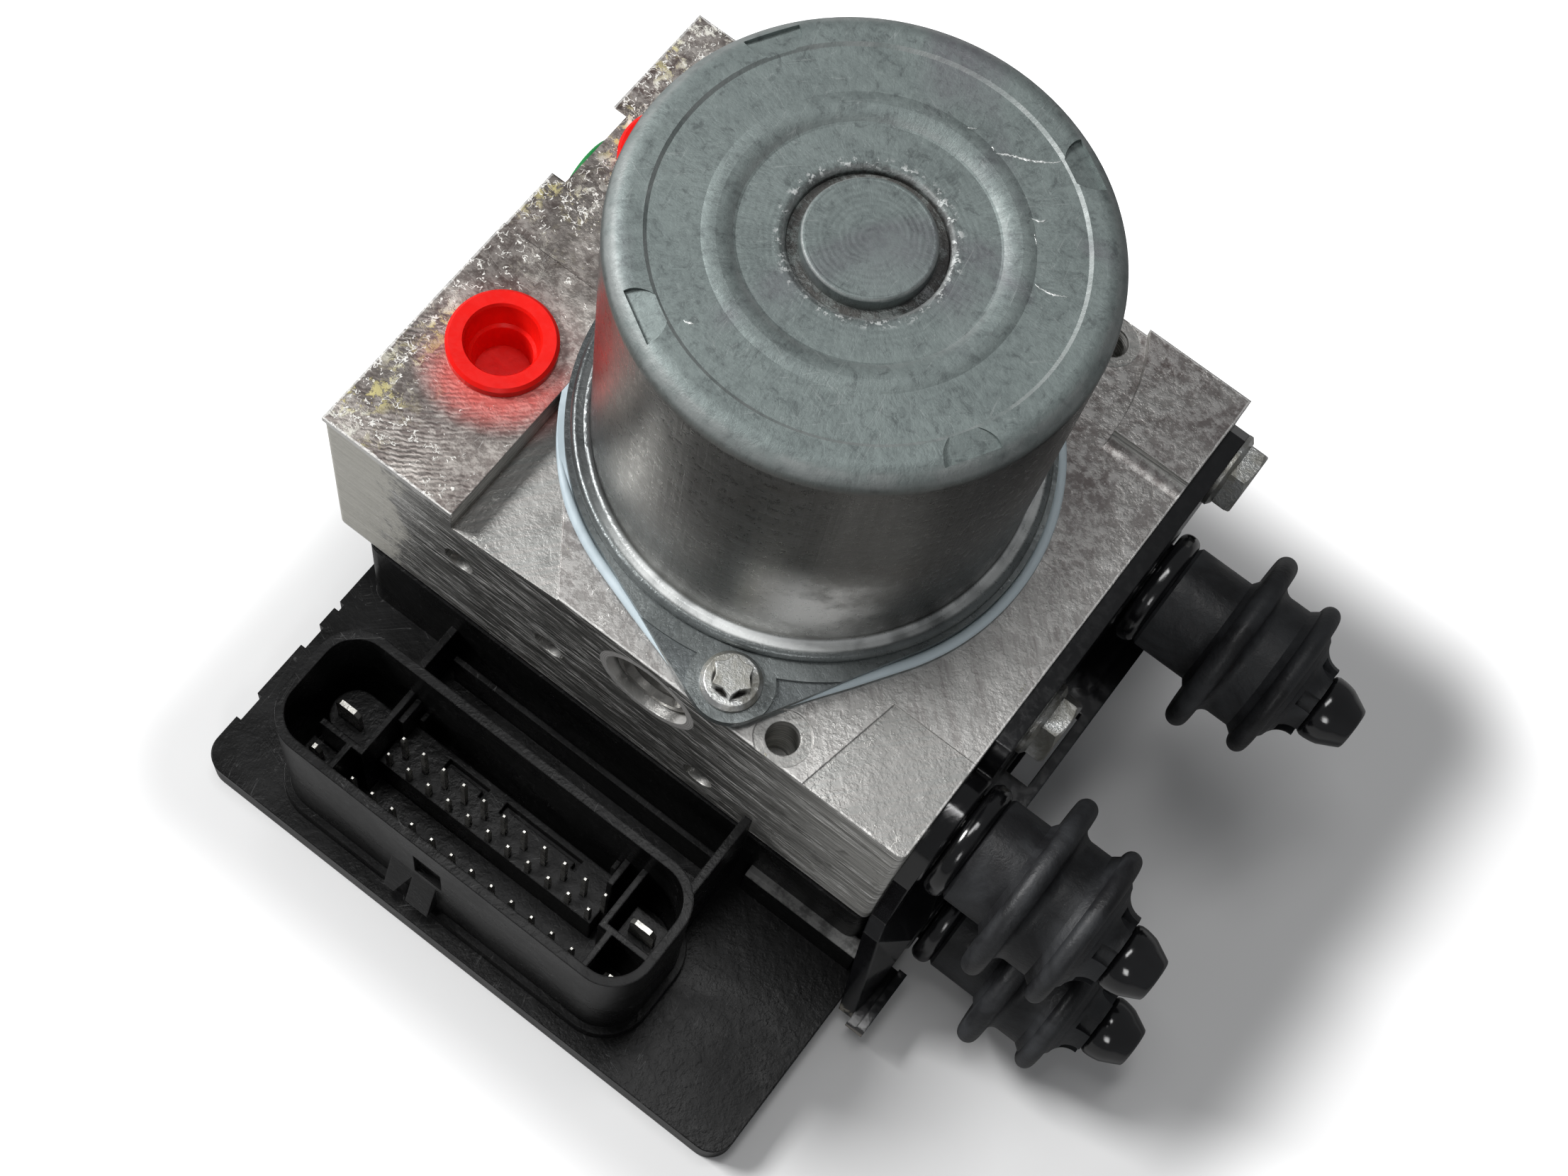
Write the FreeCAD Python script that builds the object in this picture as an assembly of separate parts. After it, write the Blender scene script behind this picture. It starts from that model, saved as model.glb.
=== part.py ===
import FreeCAD, Part
import math
import os

from FreeCAD import Rotation, Vector

# Anti-lock brake module: motor on top, drilled valve block in the middle, controller below.
# Millimetres. Z is the motor axis, Z = 0 is the underside of the controller cover,
# X points along the rubber mounts, and the plug socket of the controller faces -Y.

# General fits
fit_gap = 0.3
running_clearance = 0.05
press_gap = 0.02

# Valve block, measured from the motor axis
block_left_edge = 12.4
block_right = 47.2
block_front_edge = 4.7
block_back_edge = 8.2
block_height = 37.5
block_corner = 1.2
left_pad_edge = 32.3
left_pad_height = 1.0
left_pad_step_y = -1.6
left_pad_step = 0.5
recess_depth = 4.0
recess_end_depth = 0.7
recess_end_x = 13.1
recess_end_y = 15.2
patch_depth = 0.2
patch_length = 17.4
patch_width = 14.1
patch_skew = 3.5
rear_pad_height = 2.0
rear_pad_edge_y = 28.8
rear_pad_foot_y = 26.2
rear_pad_arc_y = 28.0
rear_pad_left = 20.0
rear_pad_arc_radius = 33.9

# Controller, measured from the motor axis
cover_thickness = 2.0
plate_roof = 1.6
controller_height = 28.5
plate_left_inset = 2.8
plate_leg_gap = 0.6
plate_front = 81.2
plate_back_inset = 0.8
plate_corner = 4.0
plate_wall = 2.0
housing_inset = 2.6
housing_wall = 2.2
housing_corner = 2.6
housing_overhang = 0.4
plate_notches = ((-72.6, -67.6), (-57.0, -52.5), (-48.8, -47.4))
plate_notch_depth = 0.9
rail_left = 33.0
rail_right = 24.0
rail_depth = 5.0
rail_height = 13.5
rail_thickness = 1.2
fin_drop = 5.0
fin_inset = 0.4
fin_thickness = 1.4
bar_left = 30.0
bar_height = 10.0
bar_thickness = 1.0
bar_gap = 2.4
ledge_left = 27.5
ledge_right = 49.0
ledge_depth = 2.0
ledge_height = 9.0
ledge_round = 1.0
seal_height = 0.8
seal_width = 1.4

# Plug socket on the controller
socket_left = 41.0
socket_right = 27.3
socket_front = 77.4
socket_rear = 55.9
socket_rim = 41.0
socket_corner = 7.0
socket_wall = 1.5
socket_skirt = 1.2
socket_skirt_height = 3.0
socket_floor = 10.5
deck_top = 20.5
deck_front = 66.9
deck_rear = 58.9
deck_left = 27.4
deck_right = 14.0
cell_wall = 1.0
cell_wall_top = 31.0
left_cell_x = 28.6
left_cell_y = 68.9
small_cell_x = 30.6
right_cell_x = 16.2
right_cell_y = 67.2
slot_width = 0.9
slot_leg = 2.0
slot_rear = 59.9
deck_slots = ((-19.0, -11.0), (-7.8, 7.2))
deck_slot_depth = 2.0
key_front_inset = 5.0
key_drop = 2.0
spline_inset = 1.6
spline_width = 0.8
spline_drop = 6.0
latch_left = 16.0
latch_width = 8.6
latch_reach = 2.6
latch_low = 6.0
latch_high = 17.0
latch_window = (-11.4, -6.2)
latch_window_low = 24.0
latch_window_high = 33.0

# Pins and blades of the plug socket
pin_size = 0.8
pin_pitch = 3.88
row_a = {"first": -24.6, "y": -63.8, "tip": 30.0, "count": 11}
row_b = {"first": -25.8, "y": -66.2, "tip": 25.6, "count": 11}
row_c = {"first": -28.2, "y": -72.0, "tip": 23.0, "count": 12}
blade_thickness = 0.8
large_blade_width = 4.4
small_blade_width = 2.2
large_blade_tip = 31.0
small_blade_tip = 26.0
left_large_blade = (-34.0, -65.4)
left_small_blade = (-35.2, -72.2)
right_large_blade = (21.8, -64.4)
right_small_blade = (22.0, -72.4)
pedestal_top = 24.0
pedestal_radius = 4.0
pedestal_shift = 1.2
pedestal_front = 2.4
pedestal_back = 3.4
left_cell_back = 4.0
small_cell_top = 21.0

# Motor
motor_height = 61.3
seal_thickness = 1.0
can_foot_radius = 32.2
can_draft = 0.5
flange_width = 3.6
flange_thickness = 1.6
flange_pocket_radius = 37.8
flange_pocket_depth = 0.5
flange_pocket_gap = 0.4
can_wall = 1.5
rim_radius = 3.2
boss_radius = 8.7
boss_groove_width = 1.7
boss_groove_depth = 2.2
step_inset = 5.5
step_depth = 0.35
bead_radius = 18.9
bead_width = 1.8
dish_radius = 16.4
dish_depth = 0.9
rim_notch_radius = 3.8
rim_notch_depth = 0.9
rim_notch_inset = 2.0
rim_notch_angle = -30.0
rim_notch_count = 4
ear_offset = 4.18
ear_angle = 70.1
ear_radius = 5.9
motor_screw_collar_radius = 4.43
motor_screw_collar_height = 1.2
motor_screw_star_radius = 3.1
motor_screw_star_height = 3.4
motor_screw_radius = 2.4
motor_screw_depth = 11.0
screw_hole_gap = 0.2
seal_lip = 0.9
seal_ear_inset = 1.0

# Motor inside
shaft_radius = 4.0
shaft_foot = 1.1
bearing_radius = 11.0
bearing_width = 6.0
top_bearing_radius = 7.4
top_bearing_width = 5.0
magnet_thickness = 4.4
magnet_count = 4
magnet_gap_angle = 14.0
magnet_rise = 13.0
magnet_drop = 13.3
core_gap = 0.8
core_rise = 17.0
core_drop = 17.3
slot_count = 10
slot_depth = 10.0
slot_opening = 4.4
slot_rim = 1.5
slot_fill_gap = 0.1
winding_overhang = 4.0
winding_inset = 2.5
commutator_radius = 9.5
commutator_rise = 4.0
commutator_height = 8.0
commutator_groove = 0.8
commutator_groove_width = 0.6
brush_width = 5.0
brush_height = 5.0
brush_length = 10.0
brush_spring_room = 5.0
brush_spring_radius = 1.7
brush_spring_wire = 0.3
brush_box_wall = 1.2
brush_box_rise = 0.5
brush_box_setback = 2.0
holder_thickness = 2.6
contact_inset = 6.7
contact_y = 0.0
contact_gap = 2.4
contact_width = 2.2
contact_thickness = 0.7
contact_hole_radius = 3.4

# Pump
cam_chamber_radius = 14.5
cam_chamber_depth = 20.0
pump_axis_drop = 9.9
pump_offset = 3.3
cam_radius = 6.0
cam_throw = 1.1
cam_height = 8.0
cam_ring_radius = 8.5
piston_radius = 3.2
piston_length = 18.0
piston_nose_gap = 0.3
piston_recess_radius = 2.2
piston_recess_depth = 5.0
sleeve_radius = 5.4
sleeve_end_gap = 1.3
sleeve_wall = 1.3
pump_plug_radius = 7.2
pump_plug_thickness = 3.6
pump_plug_recess = 1.4
pump_spring_radius = 1.7
pump_spring_wire = 0.35

# Valves in the underside of the block
valve_x = (-36.0, -12.0, 12.0, 36.0)
inlet_row_y = -29.0
outlet_row_y = -9.0
valve_radius = 4.4
valve_depth = 14.0
valve_dome_radius = 3.0
valve_dome_height = 14.0
coil_outer_radius = 7.4
coil_drop = 16.3
coil_height = 13.5
coil_flange = 1.2
frame_thickness = 1.0
frame_width = 8.0

# Low pressure accumulators in the underside of the block
accumulator_x = 20.0
accumulator_y = 20.0
accumulator_radius = 8.6
accumulator_depth = 20.0
accumulator_piston_height = 6.0
accumulator_spring_radius = 6.2
accumulator_spring_wire = 0.7
accumulator_cap_thickness = 2.0

# Ports
top_port_clearance = 2.61
top_port_front_y = -17.2
top_port_rear_y = 22.8
top_port_radius = 5.5
top_port_mouth_radius = 6.5
top_port_mouth_depth = 3.0
top_port_depth = 12.0
top_cap_flange_radius = 8.27
top_cap_flange = 1.9
top_cap_inner = 5.5
top_cap_floor_inner = 4.2
top_cap_length = 10.0
side_port_radius = 4.4
side_port_depth = 10.0
side_cap_flange_radius = 7.0
side_cap_flange = 1.5
side_cap_inner = 3.4
side_port_y = (-29.0, -12.0, 5.0)
side_port_rise = 12.5
edge_port_y = 17.0
edge_port_drop = 9.0
edge_port_depth = 6.4
edge_spotface_radius = 12.0
edge_spotface_depth = 2.5
accessory_front = (23.8, 3.6)
accessory_rear = (25.4, 4.2)
accessory_hole_radius = 2.5
accessory_hole_depth = 13.0
accessory_spotface_radius = 4.2
accessory_spotface_depth = 0.25
ball_radius = 2.6
ball_hole_depth = 6.2
ball_sink = 0.9
front_ball_drops = ((-31.2, 15.2), (-14.2, 22.7), (14.4, 30.1))
rear_ball_drops = ((-31.2, 15.2), (20.0, 8.0), (34.0, 23.0))

# Bracket of folded sheet on the right side of the block
sheet = 2.8
bracket_top_drop = 0.7
bracket_bottom_rise = 8.5
bracket_front_inset = 0.7
bracket_back_inset = 1.6
bracket_chamfer = 3.0
eye_radius = 9.2
eye_height = 3.2
eye_round = 0.4
eye_shoulder_back = 10.5
eye_shoulder_half = 8.0
eye_corner_drop = 1.0
eye_shoulder = 4.5
shelf_reach = 6.4
shelf_front = 20.5
shelf_back = 33.0
shelf_slot_before = 7.5
shelf_slot_after = 7.0
shelf_slot_width = 4.0
shelf_slot_inset = 0.6
leg_offset = 4.4
leg_front = 39.5
leg_back = 15.5
joggle_top_rise = 2.5
joggle_bottom_drop = 3.5
leg_bottom = 4.0
web_top_out = 2.6
web_top_x = 0.7
web_top_drop = 1.5
web_fold_y = 41.0
web_fold_z = 14.0
foot_front = 50.0
foot_lip = 2.7
foot_lip_front = 51.5
foot_lip_back = 40.0
foot_rim = 1.5
foot_rim_height = 4.4
back_tab_reach = 3.4
back_tab_top_rise = 24.1
back_tab_bottom_rise = 14.5
front_bolt_y = -6.2
front_bolt_rise = 18.1
back_bolt_inset = 7.0
back_bolt_drop = 6.6
bolt_radius = 3.0
bolt_depth = 12.0
bolt_head_flats = 10.0
bolt_head_height = 3.0
bolt_flange_radius = 6.2
bolt_flange = 1.2
bolt_hole_gap = 0.3

# Rubber mounts, along X from the outer face of the sheet
upper_mount_drop = 12.0
rear_mount_y = 18.8
front_mount_y = -30.6
low_mount_y = -29.3
low_mount_z = 16.0
rear_mount_reach = 15.9
front_mount_reach = 13.3
low_mount_reach = 15.4
collar_radius = 9.4
collar_start = 0.7
collar_width = 3.4
collar_round = 1.5
collar_neck_radius = 6.6
mount_pin_radius = 3.6
bush_radius = 8.7
bush_chamfer = 0.5
big_flange_radius = 15.2
big_flange_width = 3.4
waist_radius = 10.4
flange_pitch = 9.4
small_flange_radius = 13.0
small_flange_width = 3.0
cone_radius = 8.6
cone_end_radius = 6.0
cone_length = 4.2
cone_notch_count = 6
cone_notch_width = 2.6
bullet_radius = 5.1
bullet_end_radius = 3.3
bullet_length = 3.6
bullet_nose = 3.0
bullet_sides = 8

# Controller fasteners and board
case_screw_left_edge = 9.4
case_screw_right_edge = 4.0
case_screw_front_edge = 4.7
case_screw_back_edge = 7.6
case_screw_radius = 1.9
case_screw_head_radius = 3.6
case_screw_head_height = 1.6
case_screw_grip = 9.0
case_column_radius = 3.6
case_screw_socket_radius = 1.5
case_screw_socket_depth = 1.0
case_screw_end_gap = 0.5
board_gap = 0.3
board_thickness = 1.5
board_room = 0.6
board_side_gap = 0.6
board_corner = 1.5
board_column_gap = 0.5
board_chips = (
    (-10.0, 4.0, 4.0, 18.0, 1.6),
    (-34.0, -26.0, 22.0, 32.0, 2.0),
    (14.0, 22.0, 24.0, 34.0, 2.0),
    (-42.0, -34.0, 6.0, 14.0, 6.0),
)
board_capacitors = (
    (-20.0, 34.0, 4.0, 8.0),
    (30.0, 8.0, 5.0, 10.0),
    (4.0, 30.0, 4.0, 8.0),
)

# Heights and faces worked out from the sizes above
block_bottom = controller_height
block_top = controller_height + block_height
motor_base = block_top + seal_thickness
motor_top = block_top + motor_height
can_radius = can_foot_radius + can_draft
flange_radius = can_foot_radius + flange_width
can_inner_radius = can_foot_radius - can_wall
can_roof = motor_top - boss_groove_depth - can_wall
ear_reach = flange_radius + ear_offset
ear_x = ear_reach * math.cos(math.radians(ear_angle))
ear_y = ear_reach * math.sin(math.radians(ear_angle))
top_port_reach = flange_radius + top_port_clearance + top_cap_flange_radius
top_port_x = -math.sqrt(top_port_reach ** 2 - top_port_front_y ** 2)
block_left = block_left_edge - top_port_x
block_front = ear_y + block_front_edge
block_back = ear_y + block_back_edge
board_bottom = cover_thickness + board_gap
board_top = board_bottom + board_thickness
plate_ceiling = board_top + board_room
plate_top = plate_ceiling + plate_roof
plate_left = block_left - plate_left_inset
plate_right = block_right + leg_offset - plate_leg_gap
plate_back = block_back - plate_back_inset
housing_left = -plate_left + housing_inset
housing_right = block_right + housing_overhang
housing_front = -block_front - housing_overhang
housing_back = plate_back - housing_inset
pump_axis = block_top - pump_axis_drop
cam_chamber_floor = block_top - cam_chamber_depth
holder_hub_radius = cam_chamber_radius - fit_gap
magnet_bottom_z = motor_base + magnet_rise
magnet_top_z = motor_top - magnet_drop
core_bottom_z = motor_base + core_rise
core_top_z = motor_top - core_drop
commutator_bottom_z = motor_base + commutator_rise
commutator_top_z = commutator_bottom_z + commutator_height
shaft_foot_z = pump_axis - cam_height / 2 - shaft_foot
contact_x = -can_inner_radius + contact_inset
pump_seat = block_front - pump_plug_thickness - pump_plug_recess
sleeve_end = pump_seat - sleeve_end_gap
coil_bottom_z = block_bottom - coil_drop
side_port_z = block_bottom + side_port_rise
edge_port_z = block_top - edge_port_drop
front_balls = [(x, block_top - drop) for x, drop in front_ball_drops]
rear_balls = [(x, block_top - drop) for x, drop in rear_ball_drops]
accessory_holes = [
    (accessory_front[0], -block_front + accessory_front[1]),
    (accessory_rear[0], block_back - accessory_rear[1]),
]
case_screws = [
    (x, y)
    for x in (-block_left + case_screw_left_edge, block_right - case_screw_right_edge)
    for y in (-block_front + case_screw_front_edge, block_back - case_screw_back_edge)
]
sheet_face = block_right + sheet
leg_face = sheet_face + leg_offset
bracket_top = block_top - bracket_top_drop
bracket_bottom = block_bottom + bracket_bottom_rise
bracket_front = block_front - bracket_front_inset
bracket_back = block_back - bracket_back_inset
leg_joggle_top = block_bottom + joggle_top_rise
leg_joggle_bottom = block_bottom - joggle_bottom_drop
back_tab_top = block_bottom + back_tab_top_rise
back_tab_bottom = block_bottom + back_tab_bottom_rise
upper_mounts_z = block_top - upper_mount_drop
bolt_sites = [
    (front_bolt_y, block_bottom + front_bolt_rise),
    (block_back - back_bolt_inset, block_top - back_bolt_drop),
]
Z_AXIS = Vector(0, 0, 1)
X_AXIS = Vector(1, 0, 0)
Y_AXIS = Vector(0, 1, 0)


def box(x0, x1, y0, y1, z0, z1):
    """Block between two corners."""
    return Part.makeBox(x1 - x0, y1 - y0, z1 - z0, Vector(x0, y0, z0))


def cylinder(point, axis, radius, length):
    """Round bar from a point along an axis."""
    return Part.makeCylinder(radius, length, Vector(*point), axis)


def ring(point, axis, outer, inner, length):
    """Round tube from a point along an axis."""
    return cylinder(point, axis, outer, length).cut(cylinder(point, axis, inner, length))


def prism(points, direction):
    """Closed outline of straight edges, extruded along a vector."""
    corners = [Vector(*p) for p in points]
    wire = Part.makePolygon(corners + [corners[0]])
    return Part.Face(wire).extrude(direction)


def rounded_box(x0, x1, y0, y1, z0, z1, radius):
    """Block whose four upright edges are rounded."""
    k = radius * (1 - math.sqrt(0.5))
    a = [Vector(x0 + radius, y0, z0), Vector(x1 - radius, y0, z0)]
    b = [Vector(x1, y0 + radius, z0), Vector(x1, y1 - radius, z0)]
    c = [Vector(x1 - radius, y1, z0), Vector(x0 + radius, y1, z0)]
    d = [Vector(x0, y1 - radius, z0), Vector(x0, y0 + radius, z0)]
    edges = [
        Part.makeLine(a[0], a[1]),
        Part.Arc(a[1], Vector(x1 - k, y0 + k, z0), b[0]).toShape(),
        Part.makeLine(b[0], b[1]),
        Part.Arc(b[1], Vector(x1 - k, y1 - k, z0), c[0]).toShape(),
        Part.makeLine(c[0], c[1]),
        Part.Arc(c[1], Vector(x0 + k, y1 - k, z0), d[0]).toShape(),
        Part.makeLine(d[0], d[1]),
        Part.Arc(d[1], Vector(x0 + k, y0 + k, z0), a[0]).toShape(),
    ]
    return Part.Face(Part.Wire(edges)).extrude(Vector(0, 0, z1 - z0))


def turned(profile, origin=Vector(0, 0, 0), axis=Z_AXIS):
    """Solid of revolution. The profile is a list of (radius, height) corners, and an
    entry of two such pairs is an arc that passes the first and ends at the second."""
    side = X_AXIS if axis == Z_AXIS else Z_AXIS

    def place(point):
        return origin + side * point[0] + axis * point[1]

    edges = []
    here = place(profile[0])
    for step in profile[1:] + [profile[0]]:
        if isinstance(step[0], tuple):
            end = place(step[1])
            edges.append(Part.Arc(here, place(step[0]), end).toShape())
        else:
            end = place(step)
            edges.append(Part.makeLine(here, end))
        here = end
    return Part.Face(Part.Wire(edges)).revolve(origin, axis, 360)


def fused(shapes):
    """One solid of several that meet."""
    first = shapes[0]
    if len(shapes) == 1:
        return first
    return first.fuse(shapes[1:]).removeSplitter()


def coil_spring(radius, wire, height, turns):
    """Round wire spring on +Z from the origin. Each half turn lies in a tilted plane, so
    the rise is the same on both sides and the wire runs on without a step."""
    rise = (height - 2 * wire) / (2 * turns)
    pieces = []
    for number in range(2 * turns):
        side = 1 if number % 2 == 0 else -1
        low = wire + rise * number
        start = Vector(side * radius, 0, low)
        centre = Vector(0, 0, low + rise / 2)
        lean = Vector(side * rise / 2, 0, radius)
        disc = Part.Face(Part.Wire(Part.makeCircle(wire, start, Y_AXIS)))
        pieces.append(disc.revolve(centre, lean, 180))
    return fused(pieces)


def mirrored_pair(point):
    """The point and its half turn about the motor axis."""
    return [point, (-point[0], -point[1])]


def ear_points():
    """Centres of the two ears of the motor flange."""
    return mirrored_pair((ear_x, -ear_y))


# Valve block


def block_body():
    """Sawn extrusion with a raised pad on the left, a milled recess and a rear pad."""
    body = rounded_box(
        -block_left, block_right, -block_front, block_back, block_bottom, block_top, block_corner
    )
    low_pad = box(
        -block_left, -left_pad_edge, -block_front, block_back,
        block_top, block_top + left_pad_height - left_pad_step,
    )
    high_pad = box(
        -block_left, -left_pad_edge, -block_front, left_pad_step_y,
        block_top, block_top + left_pad_height,
    )
    return fused([body, low_pad, high_pad, rear_pad()])


def rear_pad():
    """Raised corner pad with a coved foot along its front and an arc on its left."""
    top = block_top + rear_pad_height
    run = rear_pad_edge_y - rear_pad_foot_y
    cove = (run ** 2 + rear_pad_height ** 2) / (2 * rear_pad_height)
    low = block_top - 1
    pad = box(rear_pad_left, block_right, rear_pad_foot_y, block_back, low, top)
    cove_bar = cylinder((rear_pad_left - 1, rear_pad_foot_y, block_top + cove), X_AXIS, cove,
                        block_right - rear_pad_left + 2)
    swept = cylinder((0, rear_pad_arc_y, low - 1), Z_AXIS, rear_pad_arc_radius,
                     rear_pad_height + 3)
    return pad.cut([cove_bar, swept])


def recess_tool():
    """Milled hollow in the front edge, between the left pad and the motor flange. Its floor
    rises from the pad towards the motor."""
    low = block_top - recess_depth
    shallow = block_top - recess_end_depth
    high = block_top + left_pad_height + 1
    outline = [
        (-left_pad_edge, -block_front - 1, low),
        (-recess_end_x, -block_front - 1, low),
        (-recess_end_x, -block_front, low),
        (-left_pad_edge, -recess_end_y, low),
    ]
    wedge = [
        (-left_pad_edge, -block_front - 1, low),
        (-recess_end_x, -block_front - 1, shallow),
        (-recess_end_x, -block_front - 1, high),
        (-left_pad_edge, -block_front - 1, high),
    ]
    plan = prism(outline, Vector(0, 0, high - low))
    return plan.common(prism(wedge, Vector(0, block_front, 0)))


def patch_tool():
    """Milled flat on the front right corner of the top."""
    x = block_right - patch_width
    y = -block_front + patch_length
    outline = [
        (x, y, block_top - patch_depth),
        (block_right + 1, y, block_top - patch_depth),
        (block_right + 1, -block_front - 1, block_top - patch_depth),
        (x - patch_skew, -block_front - 1, block_top - patch_depth),
    ]
    return prism(outline, Vector(0, 0, 1))


def pad_top(y):
    """Height of the left pad at a place along it."""
    if y > left_pad_step_y:
        return block_top + left_pad_height - left_pad_step
    return block_top + left_pad_height


def port_tools():
    """Mouths and bores of the hydraulic ports."""
    tools = []
    for y in (top_port_front_y, top_port_rear_y):
        top = pad_top(y)
        tools.append(cylinder((top_port_x, y, top - top_port_depth), Z_AXIS,
                              top_port_radius, top_port_depth + 1))
        tools.append(cylinder((top_port_x, y, top - top_port_mouth_depth), Z_AXIS,
                              top_port_mouth_radius, top_port_mouth_depth + 1))
    for y in side_port_y:
        tools.append(cylinder((-block_left - 1, y, side_port_z), X_AXIS, side_port_radius,
                              side_port_depth + 1))
    y, z = edge_port_y, edge_port_z
    tools.append(cylinder((-block_left - 1, y, z), X_AXIS, edge_spotface_radius,
                          edge_spotface_depth + 1))
    tools.append(cylinder((-block_left - 1, y, z), X_AXIS, side_port_radius,
                          edge_port_depth + 1))
    return tools


def pump_tools():
    """Cam chamber, the two opposed pump bores and their plug seats."""
    tools = [cylinder((0, 0, cam_chamber_floor), Z_AXIS, cam_chamber_radius,
                      block_top - cam_chamber_floor + 1)]
    for side, face, x in ((-1, block_front, pump_offset), (1, block_back, -pump_offset)):
        axis = Y_AXIS * side
        seat = face - pump_plug_thickness - pump_plug_recess
        tools.append(cylinder((x, 0, pump_axis), axis, sleeve_radius, seat + 0.5))
        tools.append(cylinder((x, side * seat, pump_axis), axis, pump_plug_radius,
                              pump_plug_thickness + pump_plug_recess + 1))
    return tools


def underside_tools():
    """Valve bores, accumulator bores and the passage of the motor contacts."""
    tools = []
    for x in valve_x:
        for y in (inlet_row_y, outlet_row_y):
            tools.append(cylinder((x, y, block_bottom - 1), Z_AXIS, valve_radius,
                                  valve_depth + 1))
    for side in (-1, 1):
        tools.append(cylinder((side * accumulator_x, accumulator_y, block_bottom - 1), Z_AXIS,
                              accumulator_radius, accumulator_depth + 1))
    tools.append(cylinder((contact_x, contact_y, block_bottom - 1), Z_AXIS,
                          contact_hole_radius, block_height + 2))
    return tools


def fastener_tools():
    """Holes for the motor screws, case screws, bracket bolts and accessory screws."""
    tools = []
    for x, y in ear_points():
        tools.append(cylinder((x, y, block_top - motor_screw_depth), Z_AXIS,
                              motor_screw_radius, motor_screw_depth + 1))
    for x, y in case_screws:
        tools.append(cylinder((x, y, block_bottom - 1), Z_AXIS, case_screw_radius,
                              case_screw_grip + 1))
    for y, z in bolt_sites:
        tools.append(cylinder((block_right - bolt_depth, y, z), X_AXIS, bolt_radius,
                              bolt_depth + 1))
    for x, y in accessory_holes:
        tools.append(cylinder((x, y, block_top - accessory_hole_depth), Z_AXIS,
                              accessory_hole_radius, accessory_hole_depth + 1))
        tools.append(cylinder((x, y, block_top - accessory_spotface_depth), Z_AXIS,
                              accessory_spotface_radius, accessory_spotface_depth + 1))
    return tools


def ball_tools():
    """Cross drillings that the balls close."""
    tools = []
    for x, z in front_balls:
        tools.append(cylinder((x, -block_front + ball_hole_depth, z), -Y_AXIS, ball_radius,
                              ball_hole_depth + 1))
    for x, z in rear_balls:
        tools.append(cylinder((x, block_back - ball_hole_depth, z), Y_AXIS, ball_radius,
                              ball_hole_depth + 1))
    return tools


def valve_block():
    tools = [recess_tool(), patch_tool()]
    tools += port_tools() + pump_tools() + underside_tools() + fastener_tools() + ball_tools()
    return block_body().cut(tools)


def top_port_cap(y):
    """Hollow stopper with a wide flange, pushed into a top port."""
    base = pad_top(y)
    length = top_cap_length
    skin = top_port_mouth_radius - fit_gap
    body = top_port_radius - press_gap
    profile = [
        (0, -length),
        (body - 0.6, -length),
        (body, -length + 1.2),
        (body, -top_port_mouth_depth + fit_gap),
        (skin, -top_port_mouth_depth + fit_gap),
        (skin, 0),
        (top_cap_flange_radius, 0),
        (top_cap_flange_radius, top_cap_flange - 0.5),
        (top_cap_flange_radius - 0.5, top_cap_flange),
        (top_cap_inner + 0.3, top_cap_flange),
        (top_cap_inner, top_cap_flange - 0.5),
        (top_cap_inner - 0.5, -top_port_mouth_depth),
        (top_cap_floor_inner + 0.3, -top_port_mouth_depth - 0.4),
        (top_cap_floor_inner, -length + 1.2),
        (0, -length + 1.2),
    ]
    return turned(profile, Vector(top_port_x, y, base))


def side_port_cap(y, z, face, depth):
    """Smaller stopper pushed into a side port from the left."""
    length = depth - 1.5
    body = side_port_radius - press_gap
    profile = [
        (0, -length),
        (body - 0.6, -length),
        (body, -length + 1.0),
        (body, 0),
        (side_cap_flange_radius, 0),
        (side_cap_flange_radius, side_cap_flange - 0.4),
        (side_cap_flange_radius - 0.4, side_cap_flange),
        (side_cap_inner, side_cap_flange),
        (side_cap_inner - 0.4, -length + 1.0),
        (0, -length + 1.0),
    ]
    return turned(profile, Vector(-face, y, z), -X_AXIS)


def side_port_caps():
    caps = [side_port_cap(y, side_port_z, block_left, side_port_depth) for y in side_port_y]
    caps.append(side_port_cap(edge_port_y, edge_port_z, block_left - edge_spotface_depth,
                              edge_port_depth - edge_spotface_depth))
    return Part.makeCompound(caps)


def pump_plug(side):
    """Turned plug that is staked into the mouth of a pump bore."""
    face = block_front if side < 0 else block_back
    x = pump_offset if side < 0 else -pump_offset
    radius = pump_plug_radius - press_gap
    inner = radius * 0.62
    profile = [
        (0, 0),
        (radius, 0),
        (radius, pump_plug_thickness - 0.8),
        (radius - 1.0, pump_plug_thickness),
        (inner + 0.8, pump_plug_thickness),
        (inner, pump_plug_thickness - 1.0),
        (0, pump_plug_thickness - 1.0),
    ]
    seat = face - pump_plug_thickness - pump_plug_recess
    return turned(profile, Vector(x, side * seat, pump_axis), Y_AXIS * side)


def channel_balls():
    radius = ball_radius - press_gap
    depth = ball_radius + ball_sink
    balls = [Part.makeSphere(radius, Vector(x, -block_front + depth, z)) for x, z in front_balls]
    balls += [Part.makeSphere(radius, Vector(x, block_back - depth, z)) for x, z in rear_balls]
    return Part.makeCompound(balls)


# Motor


def flange_outline(radius, ear, thickness, z):
    """Round plate whose two ears blend into it by straight tangent sides."""
    plate = cylinder((0, 0, z), Z_AXIS, radius, thickness)
    reach = math.hypot(ear_x, ear_y)
    spread = math.acos((radius - ear) / reach)
    parts = [plate]
    for x, y in ear_points():
        heading = math.atan2(y, x)
        corners = []
        for sign in (1, -1):
            angle = heading + sign * spread
            corners.append((radius * math.cos(angle), radius * math.sin(angle), z))
            tip = (x + ear * math.cos(angle), y + ear * math.sin(angle), z)
            corners.append(tip)
        outline = [corners[0], corners[1], corners[3], corners[2]]
        parts.append(prism(outline, Vector(0, 0, thickness)))
        parts.append(cylinder((x, y, z), Z_AXIS, ear, thickness))
    return fused(parts)


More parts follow.
